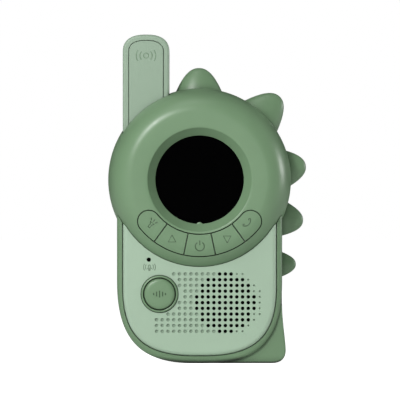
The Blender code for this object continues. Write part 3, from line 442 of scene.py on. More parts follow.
def torch_rod(name, radius, inner, outer):
    """A cylinder along the torch's way out of the head, between two distances from its centre."""
    turn = math.radians(68.5)
    middle = (inner + outer) / 2 * MM
    piece = rod(name, (0, 0, 0), radius * MM, (outer - inner) * MM, "Z", 48)
    piece.rotation_euler = (0, math.pi / 2 - turn, 0)
    piece.location = (middle * math.cos(turn), 7 * MM, HEAD_Z + middle * math.sin(turn))
    bpy.ops.object.transform_apply(location=True, rotation=True, scale=True)
    return piece


def aerial_slot():
    low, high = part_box("antenna_housing")
    return block(
        "aerial slot",
        (low.x - GAP, low.y - GAP, low.z - GAP),
        (high.x + GAP, high.y + GAP, high.z + 10 * MM),
    )


shell = plate("rear_shell_fine", case_outline, SHELL_BACK, 0.0, 4.5 * MM, 8)
join(shell, plate("tub", tub_outline, -TUB_FRONT, 2 * MM, 2.2 * MM, 6))
tail_outline = [(0, 0)] + tail_edge + [(20 * MM, TAIL_TOP)]
join(shell, plate("tail", tail_outline, -TAIL_FRONT, 2 * MM, 1.0 * MM, 4))
join(shell, *[spike(*place) for place in SPIKES])
cut(shell, head_space())
cut(shell, plate("panel well", grown(panel_outline, GAP), -12 * MM, SHELL_BACK - 3 * MM))
cut(shell, plate("hollow", grown(case_outline, -2.2 * MM), -4 * MM, SHELL_BACK - 2.5 * MM))
join(shell, *[rod("screw post", (x, 6 * MM, z), 3.3 * MM, 12 * MM) for x, z in SCREW_PLACES])
wall_top = COVER_HIGH.z + 2.5 * MM
join(shell, block("bay wall", (-20.5 * MM, 0, 6.5 * MM), (20.5 * MM, 13 * MM, wall_top)))
join(shell, block("bay foot", (-15.5 * MM, 0, 3.4 * MM), (15.5 * MM, 12.9 * MM, 7.5 * MM)))
CLIP_Y, CLIP_Z = 17.0 * MM, 108.0 * MM
for side in (-1, 1):
    x = side * 6.6 * MM
    join(shell, rod("clip lug", (x, CLIP_Y, CLIP_Z), 2.0 * MM, 2.8 * MM, "X", 48))
    foot = ((x - 1.39 * MM, 12 * MM, CLIP_Z - 1.9 * MM), (x + 1.39 * MM, CLIP_Y, CLIP_Z + 1.9 * MM))
    join(shell, block("clip lug foot", *foot))
for x, z in SCREW_PLACES:
    cut(shell, rod("screw sink", (x, 10 * MM, z), 2.8 * MM, 12 * MM))
    cut(shell, rod("screw way", (x, 2 * MM, z), 1.4 * MM, 6 * MM))
bay = (-17 * MM, 1.5 * MM, 8.5 * MM), (17 * MM, 15 * MM, 58.5 * MM)
cut(shell, block("battery bay", *bay, 0.6 * MM))
cut(shell, plate("cover seat", grown(cover_outline, GAP), 12.0 * MM, 15 * MM))
cut(shell, rod("cover screw way", (0, 8 * MM, 60.8 * MM), 1.7 * MM, 10 * MM))
TABS = (-11 * MM, 11 * MM)
for x in TABS:
    low, high = (x - 3.4 * MM, 9.8 * MM, 5.4 * MM), (x + 3.4 * MM, 12.2 * MM, 8.8 * MM)
    cut(shell, block("tab pocket", low, high))
cut(shell, aerial_slot())
cut(shell, rod("clip pin hole", (0, CLIP_Y, CLIP_Z), 1.3 * MM, 30 * MM, "X"))
cut(shell, torch_rod("torch hole", 2.9, 37, 46))
smooth(shell, shell_painted_shade_green)
stands_for(shell, "rear_shell", "case")


# ---------------------------------------------------------------- battery bay
# Three AAA cells in printed sleeves between nickel springs and plates, wired to the board by two
# leads. The plates are pressed steel pushed into slots in the bay's walls.


def drawn_metal(name, colour, roughness):
    """Plated or drawn metal: fine upright lines, cloudy tarnish, brighter edges."""
    material, tree, surface = new_material(name)
    stretch = {"Vector": own_space(tree), "Scale": (1.0, 1.0, 0.06)}
    stretch = add_node(tree, "ShaderNodeMapping", stretch).outputs["Vector"]
    lines = noise(tree, 5000.0, 4.0, place=stretch)
    marks = add_node(tree, "ShaderNodeGroup", node_tree=EDGES_AND_CREASE_SHADE)
    body = blend_colours(tree, noise(tree, 260.0, 5.0), shade(colour, 0.82), shade(colour, 1.08))
    edge = scaled(tree, marks.outputs["Edge"], 0.5)
    body = blend_colours(tree, edge, body, shade(colour, 1.25))
    gloss = ranged(tree, lines, new=(roughness - 0.08, roughness + 0.1))
    feed(tree, surface, {"Base Color": body, "Roughness": gloss, "Metallic": 1.0})
    emboss(tree, surface, lines, 0.15, 0.01)
    return material


def dress(material, *nodes):
    """The CAD nodes keep their shapes and get a finished material."""
    for node in nodes:
        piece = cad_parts[node]
        piece.data.materials.clear()
        piece.data.materials.append(material)


def cell_sleeve():
    """A dark printed sleeve with a copper-coloured band round its plus end."""
    material, tree, surface = new_material("cell sleeve")
    height = add_node(tree, "ShaderNodeSeparateXYZ", {"Vector": own_space(tree)}).outputs["Z"]
    step = {"Value": height, "From Min": 41.0 * MM, "From Max": 41.2 * MM, "Steps": 1.0}
    band = add_node(tree, "ShaderNodeMapRange", step, interpolation_type="STEPPED")
    dots = noise(tree, 900.0, 3.0)
    body = blend_colours(tree, dots, (0.050, 0.056, 0.062, 1), (0.085, 0.092, 0.100, 1))
    body = blend_colours(tree, band.outputs["Result"], body, (0.55, 0.27, 0.12, 1))
    feed(tree, surface, {"Base Color": body, "Roughness": 0.28})
    feed(tree, surface, {"Coat Weight": 0.4, "Coat Roughness": 0.12})
    emboss(tree, surface, dots, 0.1, 0.02)
    return material


plated = drawn_metal("nickel plate", (0.62, 0.62, 0.60), 0.28)
sleeve = cell_sleeve()
BARE_END = 4.5 * MM  # the radius inside which a cell's end is bare metal
for number in (1, 2, 3):
    node = f"battery_cell_{number}"
    low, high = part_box(node)
    length = (high.z - low.z) / MM
    line = [(0, length), (1.6, length), (1.9, length - 0.3), (1.9, length - 1.0)]
    line += [(4.4, length - 1.0), (5.0, length - 1.3), (5.15, length - 1.9)]
    line += [(5.15, 0.7), (4.9, 0.2), (4.3, 0), (0, 0)]
    upright = ((low.x + high.x) / 2, (low.y + high.y) / 2, low.z)
    if number == 2:
        line = [(radius, length - height) for radius, height in line]
    cell = turned(node + "_fine", line, upright, 64, (0, 0, 1))
    smooth(cell, sleeve)
    stands_for(cell, node, "case")
    cell.data.materials.append(plated)
    for face in cell.data.polygons:
        corners = [cell.data.vertices[index].co.xy for index in face.vertices]
        if all(math.dist(corner, upright[:2]) < BARE_END for corner in corners):
            face.material_index = 1

dress(plated, "battery_spring_1", "battery_spring_2", "battery_spring_3")
dress(plated, "terminal_plate_plus", "terminal_plate_minus", "link_plate_top", "link_plate_bottom")
red = moulded_plastic("red lead", (0.50, 0.03, 0.02), 0.45, 1200.0, 0.1)
dress(red, "battery_lead_red", "speaker_lead_red")
black = moulded_plastic("black lead", (0.015, 0.015, 0.015), 0.45, 1200.0, 0.1)
dress(black, "battery_lead_black", "speaker_lead_black", "antenna_lead")


# ---------------------------------------------------------------- aerial
# A flat hollow paddle in pale ABS, glued into the head's top left, with a thin inlaid cover.
# The cover carries a raised radio-wave sign. Inside is a coil of enamelled wire.

AERIAL_LOW, AERIAL_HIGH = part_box("antenna_housing")
AERIAL_SHOULDER = 8.5 * MM  # how far below its top the sides stop being straight
INLAY = 2.6 * MM  # the border that is left round the cover
PALE_GREEN = (0.395, 0.535, 0.400)
pale_green = moulded_plastic("pale green ABS", PALE_GREEN, 0.42)
# Painted shade: the same pale green ABS as the panel, made 24 percent darker to stand for shade on
# the aerial.
aerial_painted_shade_green = moulded_plastic("aerial plastic darkened as painted shade", shade(PALE_GREEN, 0.76)[:3], 0.42)


def aerial_outline(border):
    middle = (AERIAL_LOW.x + AERIAL_HIGH.x) / 2
    half = (AERIAL_HIGH.x - AERIAL_LOW.x) / 2 - border
    low = AERIAL_LOW.z
    top = []
    for step in range(49):
        turn = math.pi * step / 48
        side = math.copysign(abs(math.cos(turn)) ** 0.8, math.cos(turn))
        rise = (AERIAL_SHOULDER - border) * abs(math.sin(turn)) ** 0.8
        top.append((middle + half * side, AERIAL_HIGH.z - AERIAL_SHOULDER + rise))
    return [(middle - half, low), (middle + half, low)] + top


def round_face(piece, depth, radius, segments):
    """Rounds the edge that runs round the flat face at one depth."""
    bpy.ops.object.select_all(action="DESELECT")
    piece.select_set(True)
    bpy.context.view_layer.objects.active = piece
    bpy.ops.object.mode_set(mode="EDIT")
    bpy.ops.mesh.select_mode(type="FACE")
    bpy.ops.mesh.select_all(action="DESELECT")
    shape = bmesh.from_edit_mesh(piece.data)
    for face in shape.faces:
        face.select_set(all(abs(vertex.co.y - depth) < 0.001 * MM for vertex in face.verts))
    bmesh.update_edit_mesh(piece.data)
    bpy.ops.mesh.bevel(offset=radius, segments=segments, clamp_overlap=False)
    bpy.ops.object.mode_set(mode="OBJECT")


def wire(name, points, radius):
    """A round wire through points x, y, z."""
    line = leave(draw(name, points))
    bpy.ops.object.convert(target="CURVE")
    line.data.bevel_depth = radius
    line.data.bevel_resolution = 3
    line.data.use_fill_caps = True
    bpy.ops.object.convert(target="MESH")
    return bpy.context.active_object


def raised_lines(name, strokes, centre, depth_at, radius, turn=0.0):
    """Rounded raised lines. Strokes are in millimetres about a centre; depth_at gives y."""
    c, s = math.cos(math.radians(turn)), math.sin(math.radians(turn))
    made = []
    for stroke in strokes:
        turned_round = [(x * c - z * s, x * s + z * c) for x, z in stroke]
        flat = [(centre[0] + x * MM, centre[1] + z * MM) for x, z in turned_round]
        made.append(wire(name, [(x, depth_at(x, z), z) for x, z in flat], radius))
    return joined(made)


def joined(pieces):
    """Several pieces made one."""
    bpy.ops.object.select_all(action="DESELECT")
    for piece in pieces:
        piece.select_set(True)
    bpy.context.view_layer.objects.active = pieces[0]
    bpy.ops.object.join()
    return bpy.context.active_object


def round_about(radius, start, end, steps=20):
    return arc((0, 0), radius, start, end, steps)


housing = plate("antenna_housing_fine", aerial_outline(0), AERIAL_LOW.y, AERIAL_HIGH.y, 1.2 * MM, 5)
round_face(housing, AERIAL_HIGH.y, 2.0 * MM, 6)
seat_outline = aerial_outline(INLAY)
seat_outline = [(x, z if z > AERIAL_LOW.z + MM else AERIAL_LOW.z - MM) for x, z in seat_outline]
cut(housing, plate("cover seat", seat_outline, -7.0 * MM, -4.5 * MM))
hollow = (-32.0 * MM, -5.0 * MM, 100 * MM), (-18.7 * MM, 2.4 * MM, 150 * MM)
cut(housing, block("hollow", *hollow))
smooth(housing, aerial_painted_shade_green)
stands_for(housing, "antenna_housing", "case")

COVER_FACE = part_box("antenna_cover")[0].y
inlaid = aerial_outline(INLAY + GAP)
aerial_cover = plate("antenna_cover", inlaid, COVER_FACE, -4.8 * MM, 0.3 * MM, 3)
waves = [round_about(1.2, 0, 360)]
for radius, spread in ((2.9, 42), (4.6, 34)):
    waves += [round_about(radius, -spread, spread), round_about(radius, 180 - spread, 180 + spread)]
place = (-25.4 * MM, 145.7 * MM)
sign = raised_lines("radio waves", waves, place, lambda x, z: COVER_FACE + 0.18 * MM, 0.31 * MM)
smooth(aerial_cover, aerial_painted_shade_green)
smooth(sign, moulded_plastic("pale green sign", (0.190, 0.285, 0.190), 0.45, bump=0.1))
aerial_cover = joined([aerial_cover, sign])
aerial_cover.name = "antenna_cover_fine"
stands_for(aerial_cover, "antenna_cover", "case")
dress(drawn_metal("enamelled copper", (0.72, 0.33, 0.15), 0.30), "antenna_coil")


# ---------------------------------------------------------------- boards
# One glass-fibre board in green solder mask, clamped by the head's screws, with the radio under a
# soldered tin can.


def solder_mask():
    """Green solder mask: paler where copper runs under it, with a faint glass weave."""
    material, tree, surface = new_material("green solder mask")
    turn = {"Vector": own_space(tree), "Rotation": (math.pi / 2, 0, 0)}
    turned_up = add_node(tree, "ShaderNodeMapping", turn).outputs["Vector"]
    bricks = {"Vector": turned_up, "Scale": 300.0, "Mortar Size": 0.03}
    colours = ((0.02, 0.13, 0.05, 1), (0.025, 0.16, 0.06, 1), (0.05, 0.24, 0.09, 1))
    bricks.update(zip(("Color1", "Color2", "Mortar"), colours))
    tracks = add_node(tree, "ShaderNodeTexBrick", bricks)
    weave = scaled(tree, noise(tree, 2200.0, 2.0), 0.4)
    body = blend_colours(tree, weave, tracks.outputs["Color"], (0.01, 0.08, 0.03, 1))
    feed(tree, surface, {"Base Color": body, "Roughness": 0.30})
    emboss(tree, surface, tracks.outputs["Fac"], 0.3, 0.03)
    return material


dress(solder_mask(), "main_board")
black_plastic = moulded_plastic("black plastic", (0.018, 0.018, 0.019), 0.48, 1800.0, 0.2)
dress(black_plastic, "radio_chip", "display_module", "display_frame")
dress(plated, "rf_shield")


# ---------------------------------------------------------------- speaker and microphone
# A 28 mm speaker in a pressed basket behind black cloth, and an electret capsule in a soft boot
# that seals it to its hole.


def woven_cloth(name, colour, threads):
    """Paper or cloth: crossed fibres that show in colour and relief."""
    material, tree, surface = new_material(name)
    wave = {"Vector": own_space(tree), "Scale": threads, "Distortion": 1.5, "Detail": 2.0}
    ways = [add_node(tree, "ShaderNodeTexWave", wave, bands_direction=way) for way in "XZ"]
    ways = {index: way.outputs["Fac"] for index, way in enumerate(ways)}
    crossed = add_node(tree, "ShaderNodeMath", ways, operation="MAXIMUM").outputs[0]
    body = blend_colours(tree, crossed, shade(colour, 0.6), shade(colour, 1.3))
    feed(tree, surface, {"Base Color": body, "Roughness": 0.9, "Specular IOR Level": 0.1})
    emboss(tree, surface, crossed, 0.6, 0.05)
    return material


black_cloth = woven_cloth("speaker cloth", (0.004, 0.004, 0.004), 700.0)
SPEAKER = middle_of("speaker_magnet")
disc = [(0, 8.15), (14.65, 8.15), (14.65, 7.9), (0, 7.9)]
cloth = turned("speaker_cloth_fine", disc, SPEAKER, 64)
smooth(cloth, black_cloth)
stands_for(cloth, "speaker_cloth", "case")
dress(woven_cloth("paper cone", (0.020, 0.021, 0.020), 300.0), "speaker_cone")
dress(plated, "speaker_frame", "speaker_magnet")
silicone = moulded_plastic("grey silicone", (0.28, 0.28, 0.27), 0.65, 1400.0, 0.15)
dress(silicone, "keypad_mat")
soft = (0.006, 0.006, 0.006)
dress(moulded_plastic("black silicone", soft, 0.70, 1400.0, 0.15, specular=0.1), "mic_boot")

MIC = middle_of("mic_capsule")
can_line = [(1.9, 6.45), (2.0, 6.6), (2.6, 6.6), (2.75, 6.52), (2.8, 6.4), (2.8, 4.7), (0, 4.7)]
can_line += [(0, 6.2), (1.9, 6.2), (1.9, 6.45)]
can = turned("mic_capsule_fine", can_line, MIC, 48)
smooth(can, plated)
felt_line = [(0, 6.55), (1.7, 6.5), (1.88, 6.3), (1.88, 6.15), (0, 6.15)]
felt = turned("microphone felt", felt_line, MIC, 48)
smooth(felt, black_cloth)
can = joined([can, felt])
stands_for(can, "mic_capsule", "case")


# ---------------------------------------------------------------- screen
# A round black lens of hard-coated acrylic, taped behind the head's opening over the display.


def black_lens():
    """Polished black acrylic with a trace of dust and fine wiping marks."""
    material, tree, surface = new_material("black acrylic lens")
    dust = noise(tree, 700.0, 6.0)
    faint = scaled(tree, ranged(tree, dust, (0.70, 0.80)), 0.02)
    body = blend_colours(tree, faint, (0.0006, 0.0006, 0.0007, 1), (0.2, 0.2, 0.2, 1))
    wiped = ranged(tree, dust, new=(0.04, 0.12))
    feed(tree, surface, {"Base Color": body, "Roughness": wiped, "Specular IOR Level": 0.06})
    return material


lens_line = [(0, 11.0), (23.3, 11.0), (23.6, 10.7), (23.6, 9.8), (0, 9.8)]
lens = turned("screen_lens_fine", lens_line, (0, HEAD_Z), 128)
smooth(lens, black_lens())
stands_for(lens, "screen_lens", "case")


# ---------------------------------------------------------------- keys
# Five moulded caps on one silicone mat fill a crescent slot under the screen. Each is domed like
# the ring around it, has a raised sign (torch, up, power, down or call) and a pocket in its back
# that lets the mat's post stand clear at full travel.

KEY_INNER, KEY_OUTER = 26.0, 36.05  # millimetres from the head's centre
KEY_END = 50.6  # degrees from straight down to the middle of the slot's round ends
KEY_NEAR, KEY_FAR = 12.0, 36.2  # the splits between keys
KEY_GAP = 0.5
KEY_PROUD = 0.05  # how far the keys stand above the ring's skin
KEY_GREEN = (0.176, 0.292, 0.165)
# Painted shade darkens the keys' hollows fully.
key_green = moulded_plastic("key green ABS", KEY_GREEN, 0.42, bump=0.2, crease_shade=1.0)
# Painted shade: the signs' dark green stands for the shade inside sunk sign lines.
sign_painted_shade_green = moulded_plastic("sign green darkened as painted shade", (0.068, 0.125, 0.063), 0.42, bump=0.1)


def key_point(radius, angle):
    """A point x, z on the head's face, by radius in millimetres and angle from straight down."""
    turn = math.radians(angle)
    return (radius * MM * math.sin(turn), HEAD_Z - radius * MM * math.cos(turn))


def key_band(inner, outer, start, end, side_gap):
    """The outline of a stretch of the crescent, its straight sides held back and its ends round."""

    def edge(radius, backwards):
        back = math.degrees(side_gap / radius)
        low = start + back if start > -KEY_END else start
        high = end - back if end < KEY_END else end
        steps = range(24, -1, -1) if backwards else range(25)
        return [key_point(radius, low + (high - low) * step / 24) for step in steps]

    middle, cap = (inner + outer) / 2, (outer - inner) / 2 * MM
    outline = edge(outer, False)
    if end >= KEY_END:
        outline += arc(key_point(middle, end), cap, end - 90, end + 90, 20)[1:-1]
    outline += edge(inner, True)
    if start <= -KEY_END:
        outline += arc(key_point(middle, start), cap, start + 90, start + 270, 20)[1:-1]
    return outline


def key_skin(x, z):
    """The depth of a sign's lines on the keys' domed face."""
    radius = math.hypot(x, z - HEAD_Z) / MM
    return -(ring_height(radius) + KEY_PROUD - 0.24) * MM


TORCH_SIGN = [
    [(-0.5, -2.3), (-0.5, -0.6), (-1.1, 0.3), (1.1, 0.3), (0.5, -0.6), (0.5, -2.3), (-0.5, -2.3)],
    [(0, 1.1), (0, 2.3)],
    [(-1.1, 1.0), (-1.8, 2.0)],
    [(1.1, 1.0), (1.8, 2.0)],
]
UP_SIGN = [[(-1.75, -1.35), (1.75, -1.35), (0.12, 1.75), (-0.12, 1.75), (-1.75, -1.35)]]
DOWN_SIGN = [[(x, -z) for x, z in UP_SIGN[0]]]
POWER_SIGN = [round_about(2.1, 125, 415, 36), [(0, 0.5), (0, 2.7)]]
CALL_SIGN = [
    arc((0, 2.0), 2.7, 222, 318, 16),
    [(-2.0, 0.2), (-2.45, 0.75), (-1.9, 1.25), (-1.35, 0.7)],
    [(2.0, 0.2), (2.45, 0.75), (1.9, 1.25), (1.35, 0.7)],
]
KEYS = (
    ("torch_key", -KEY_END, -KEY_FAR, TORCH_SIGN, (-22.5, 66.3), -38),
    ("up_key", -KEY_FAR, -KEY_NEAR, UP_SIGN, (-13.0, 58.9), 0),
    ("power_key", -KEY_NEAR, KEY_NEAR, POWER_SIGN, (0.1, 55.5), 0),
    ("down_key", KEY_NEAR, KEY_FAR, DOWN_SIGN, (13.0, 59.0), 0),
    ("call_key", KEY_FAR, KEY_END, CALL_SIGN, (22.7, 66.3), 45),
)
POSTS = (-46.5, -24.0, 0.0, 24.0, 46.5)  # where the rubber mat's posts stand, in degrees
for (node, start, end, strokes, place, turn), post in zip(KEYS, POSTS):
    radii = [25.2 + 13.3 * step / 24 for step in range(25)]
    dome = [(radius, ring_height(radius) + KEY_PROUD) for radius in radii]
    dome += [(38.5, 10.5), (25.2, 10.5), dome[0]]
    band = key_band(KEY_INNER, KEY_OUTER, start, end, KEY_GAP / 2)
    key = plate(node + "_fine", band, -19 * MM, -10.7 * MM)
    combine(key, "INTERSECT", [turned("dome", dome, (0, HEAD_Z), 180)])
    flange = key_band(KEY_INNER - 1.3, KEY_OUTER + 1.3, start, end, 0.4)
    join(key, plate("flange", flange, -11.0 * MM, -9.95 * MM))
    post_x, post_z = key_point(31.0, post)
    cut(key, rod("post pocket", (post_x, -10.03 * MM, post_z), 3.4 * MM, 0.6 * MM))
    smooth(key, key_green)
    centre = (place[0] * MM, place[1] * MM)
    sign = raised_lines(node + " sign", strokes, centre, key_skin, 0.37 * MM, turn)
    smooth(sign, sign_painted_shade_green)
    key = joined([key, sign])
    stands_for(key, node, node)


# ---------------------------------------------------------------- front panel
# The pale front half: one ABS tray screwed on from behind, with a square grid of grille holes.
# Those over the speaker go right through, the others are shallow dimples. A printed sign marks the
# microphone.

PANEL_LOW, PANEL_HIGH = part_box("front_panel")
PANEL_FACE = PANEL_LOW.y
BUTTON = middle_of("ptt_button")
GRILLE_PITCH = 2.709 * MM
THROUGH = 26  # in squared pitches from the speaker's middle
FADE = 40


def repeated(piece, places):
    """Copies of a piece at each place x, z, made one."""
    copies = []
    for x, z in places:
        copy = piece.copy()
        copy.data = piece.data.copy()
        copy.location = (x, 0, z)
        bpy.context.scene.collection.objects.link(copy)
        copies.append(copy)
    bpy.data.objects.remove(piece)
    whole = joined(copies)
    bpy.ops.object.transform_apply(location=True, rotation=True, scale=True)
    return whole


through, dimples, specks = [], [], []
for column in range(-12, 7):
    for row in range(-5, 6):
        place = (SPEAKER[0] + column * GRILLE_PITCH, SPEAKER[1] + row * GRILLE_PITCH)
        from_speaker = column * column + row * row
        from_button = math.dist(place, BUTTON) / GRILLE_PITCH
        if from_speaker <= THROUGH:
            through.append(place)
        elif column > 0 and from_speaker <= FADE:
            specks.append(place)
        elif column < 0 and from_button > 3.65 and (row < 1.5 or column > -9.5):
            dimples.append(place)

panel = plate("front_panel_fine", panel_outline, PANEL_FACE, PANEL_HIGH.y, 2.0 * MM, 8)
cut(panel, plate("tray", grown(panel_outline, -1.6 * MM), PANEL_FACE + 2.0 * MM, -4.0 * MM))
cut(panel, head_space())
rim = [(15.6, 8.9), (15.6, 6.6), (14.8, 6.6), (14.8, 8.9), (15.6, 8.9)]
join(panel, turned("speaker rim", rim, SPEAKER, 64))
for x, z in SCREW_PLACES[3:]:
    join(panel, rod("boss", (x, -4.6 * MM, z), 2.6 * MM, 8.6 * MM))
for x, z in SCREW_PLACES[3:]:
    cut(panel, rod("pilot hole", (x, -3.6 * MM, z), 1.3 * MM, 7.8 * MM))
cut(panel, rod("button hole", (BUTTON[0], -9 * MM, BUTTON[1]), 9.0 * MM, 6 * MM, steps=96))
hole = [(0, 12), (0.92, 12), (0.92, 10.41), (0.85, 10.33), (0.85, 7.5), (0, 7.5)]
cut(panel, repeated(turned("hole", hole, (0, 0), 16), through))
cut(panel, turned("microphone hole", [(r * 1.2, h) for r, h in hole], MIC, 32))
dimple = [(0, 12), (0.90, 12), (0.90, 10.41), (0.81, 10.33), (0.80, 9.72), (0.72, 9.62), (0, 9.62)]
cut(panel, repeated(turned("dimple", dimple, (0, 0), 14), dimples))
speck = [(r * 0.6, h) for r, h in dimple]
cut(panel, repeated(turned("speck", speck, (0, 0), 12), specks))
smooth(panel, pale_green)
stands_for(panel, "front_panel", "case")

MICROPHONE_SIGN = [
    [(-0.45, 0.0)] + arc((0, 0.75), 0.45, 180, 0, 8) + arc((0, 0.0), 0.45, 0, -180, 8),
    arc((0, 0.0), 0.95, 190, 350, 14),
    [(0, -0.95), (0, -1.45)],
    [(-0.5, -1.45), (0.5, -1.45)],
    arc((0, 0.2), 1.9, -38, 38, 10),
    arc((0, 0.2), 1.9, 142, 218, 10),
    arc((0, 0.2), 2.8, -34, 34, 10),
    arc((0, 0.2), 2.8, 146, 214, 10),
]
ink = moulded_plastic("green ink", (0.175, 0.250, 0.175), 0.55, bump=0.1)
place = (-23.7 * MM, 45.4 * MM)
sign = raised_lines(
    "microphone_sign", MICROPHONE_SIGN, place, lambda x, z: PANEL_FACE + 0.12 * MM, 0.23 * MM
)
smooth(sign, ink)
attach(sign, "case")


# ---------------------------------------------------------------- talk button
# A round cap in the dark green ABS inside a ring pressed into the panel. A raised sound-wave sign
# stands on its flat top. The silicone dome under it is modelled at rest, in a mesh of its own.

cap_line = [(0, 12.18), (4.6, 12.16), (5.6, 12.08), (6.3, 11.92), (6.8, 11.68), (7.15, 11.35)]
cap_line += [(7.32, 10.95), (7.35, 10.6), (7.35, 6.8), (8.4, 6.8), (8.4, 5.8), (6.0, 5.8)]
cap_line += [(6.0, 10.2), (1.9, 10.2), (1.9, 8.4), (0, 8.4)]
cap = turned("ptt_button_fine", cap_line, BUTTON, 96)
smooth(cap, dark_green)
halves = (0.5, 1.1, 1.6, 1.1, 0.5)
bars = [[((step - 2) * 1.4, -half), ((step - 2) * 1.4, half)] for step, half in enumerate(halves)]
sign = raised_lines("talk sign", bars, BUTTON, lambda x, z: -11.90 * MM, 0.42 * MM)
# Its dark green is the same painted shade as the keys' signs.
smooth(sign, sign_painted_shade_green)
cap = joined([cap, sign])
stands_for(cap, "ptt_button", "ptt_button")

dome_line = [(0, 8.1), (2.2, 8.1), (2.6, 7.7), (3.6, 5.8), (5.2, 5.5), (5.2, 4.7), (3.3, 4.7)]
dome_line += [(2.0, 7.0), (0, 7.0)]
rubber = turned("ptt_dome_fine", dome_line, BUTTON, 64)
smooth(rubber, silicone)
stands_for(rubber, "ptt_dome", "case")
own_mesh(rubber)

ring_line = [(7.72, 11.1), (7.85, 11.32), (8.05, 11.40), (8.35, 11.34), (8.6, 11.12), (8.7, 10.8)]
ring_line += [(8.7, 8.1), (10.2, 8.1), (10.2, 7.2), (7.72, 7.2), (7.72, 11.1)]
ring = turned("ptt_ring_fine", ring_line, BUTTON, 96)
smooth(ring, dark_green)
stands_for(ring, "ptt_ring", "case")


# ---------------------------------------------------------------- head bezel
# The puffy ring round the screen, a hollow ABS moulding with a conical wall down to the lens, a
# crescent slot for the keys, and a small half-round tab at the screen's foot.

bezel_line = ring_slope(0, 0.15, 48) + ring_slope(2.0, 0.15, 20)[::-1]
bezel_line += [(28.5, 14.9), (26.3, 14.2), (23.9, 11.3), (20.9, 11.3), (20.9, 11.95), (21.0, 12.08)]
bezel_line += [(24.30, 16.18), (24.36, 16.36), (24.50, 16.52), (24.70, 16.61)]
bezel_line += [(radius, ring_height(radius)) for radius in (25.2, 26.2, 27.4, 28.6, 30.0)]
bezel_line.append(bezel_line[0])
bezel = turned("head_bezel_fine", bezel_line, (0, HEAD_Z), 192)
HEAD_SCREWS = SCREW_PLACES[:3]
join(bezel, *[rod("boss", (x, -6.75 * MM, z), 2.6 * MM, 12.9 * MM) for x, z in HEAD_SCREWS])
tab_line = [(0, 12.12), (1.6, 12.12), (1.85, 12.0), (1.9, 11.8), (1.9, 11.4), (0, 11.4)]
join(bezel, turned("screen tab", tab_line, (0, HEAD_Z - 22.0 * MM), 48))
cut(bezel, *[rod("pilot hole", (x, -3.6 * MM, z), 1.3 * MM, 7.8 * MM) for x, z in HEAD_SCREWS])
slot_outline = key_band(KEY_INNER - KEY_GAP, KEY_OUTER + KEY_GAP, -KEY_END, KEY_END, 0)
cut(bezel, plate("key slot", slot_outline, -20 * MM, -10.5 * MM))
cut(bezel, aerial_slot())
cut(bezel, block("body passage", (-36.2 * MM, -8 * MM, 38 * MM), (36.2 * MM, 1 * MM, 72 * MM)))
smooth(bezel, dark_green)
stands_for(bezel, "head_bezel", "case")


# ---------------------------------------------------------------- screws
# Five self-tapping pan-head screws from behind, nickel plated, with cross recesses. A shorter
# machine screw holds the battery door.


def screw(node, body, head_radius, head_height, shank_radius):
    low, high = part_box(node)
    x, z = middle_of(node)
    top, tip, seat = -high.y / MM, -low.y / MM, -high.y / MM + head_height
    line = [(0, tip), (shank_radius * 0.5, tip), (shank_radius, tip - 0.7), (shank_radius, seat)]
    line += [(head_radius, seat), (head_radius, top + 0.6), (head_radius - 0.15, top + 0.3)]
    line += [(head_radius - 0.5, top + 0.08), (head_radius - 1.0, top), (0, top)]
    piece = turned(node + "_fine", line, (x, z), 48)
    arm = head_radius * 0.62 * MM
    for long_x, long_z in ((arm, 0.28 * MM), (0.28 * MM, arm)):
        slot = ((x - long_x, high.y - 0.8 * MM, z - long_z), (x + long_x, high.y + MM, z + long_z))
        cut(piece, block("recess", *slot))
    smooth(piece, plated)
    stands_for(piece, node, body)


for number in range(1, 6):
    screw(f"case_screw_{number}", "case", 2.4, 1.7, 1.0)
screw("cover_screw", "cover_screw", 2.2, 0.7, 1.1)


# ---------------------------------------------------------------- torch
# A clear polycarbonate lens in the head's upper right edge, with a clear LED behind it.


def clear_plastic(name, tint):
    """Clear plastic with a little haze."""
    material, tree, surface = new_material(name)
    haze = noise(tree, 900.0, 4.0)
    body = blend_colours(tree, haze, shade(tint, 0.96), shade(tint, 1.0))
    feed(tree, surface, {"Base Color": body, "Roughness": ranged(tree, haze, new=(0.04, 0.16))})
    feed(tree, surface, {"Transmission Weight": 1.0, "IOR": 1.49})
    return material


clear = clear_plastic("clear polycarbonate", (0.95, 0.97, 0.96))
torch_lens = torch_rod("torch_lens_fine", 2.6, 40.0, 43.1)
bpy.context.view_layer.objects.active = torch_lens
rounded = torch_lens.modifiers.new("rim", "BEVEL")
rounded.width = 0.4 * MM
rounded.segments = 4
rounded.limit_method = "ANGLE"
bpy.ops.object.modifier_apply(modifier=rounded.name)
smooth(torch_lens, clear, 40)
stands_for(torch_lens, "torch_lens", "case")
dress(clear, "torch_led")


# ---------------------------------------------------------------- battery door
# A flat ABS door set flush in the back, hooked in at its foot and held by one screw. Four ridges
# give a thumb its grip.

door_back = COVER_LOW.y + 1.35 * MM
door = plate("battery_cover_fine", cover_outline, COVER_HIGH.y, door_back, 0.35 * MM, 3)
for x in TABS:
    low, high = (x - 3.0 * MM, 10.9 * MM, DOOR_FOOT + GAP), (x + 3.0 * MM, 12.5 * MM, 9.8 * MM)
    join(door, block("tab root", low, high))
    low, high = (x - 2.8 * MM, 10.95 * MM, 5.9 * MM), (x + 2.8 * MM, 11.9 * MM, 8.2 * MM)
    join(door, block("tab", low, high))
for step in range(4):
    place = (0, COVER_HIGH.y - 0.35 * MM, (44 + 2.2 * step) * MM)
    join(door, rod("ridge", place, 0.7 * MM, 15 * MM, "X"))
cut(door, rod("screw sink", (0, 15 * MM, 60.8 * MM), 2.5 * MM, 4 * MM, steps=64))
cut(door, rod("screw hole", (0, 12 * MM, 60.8 * MM), 1.4 * MM, 4 * MM))
smooth(door, dark_green)
stands_for(door, "battery_cover", "battery_cover")


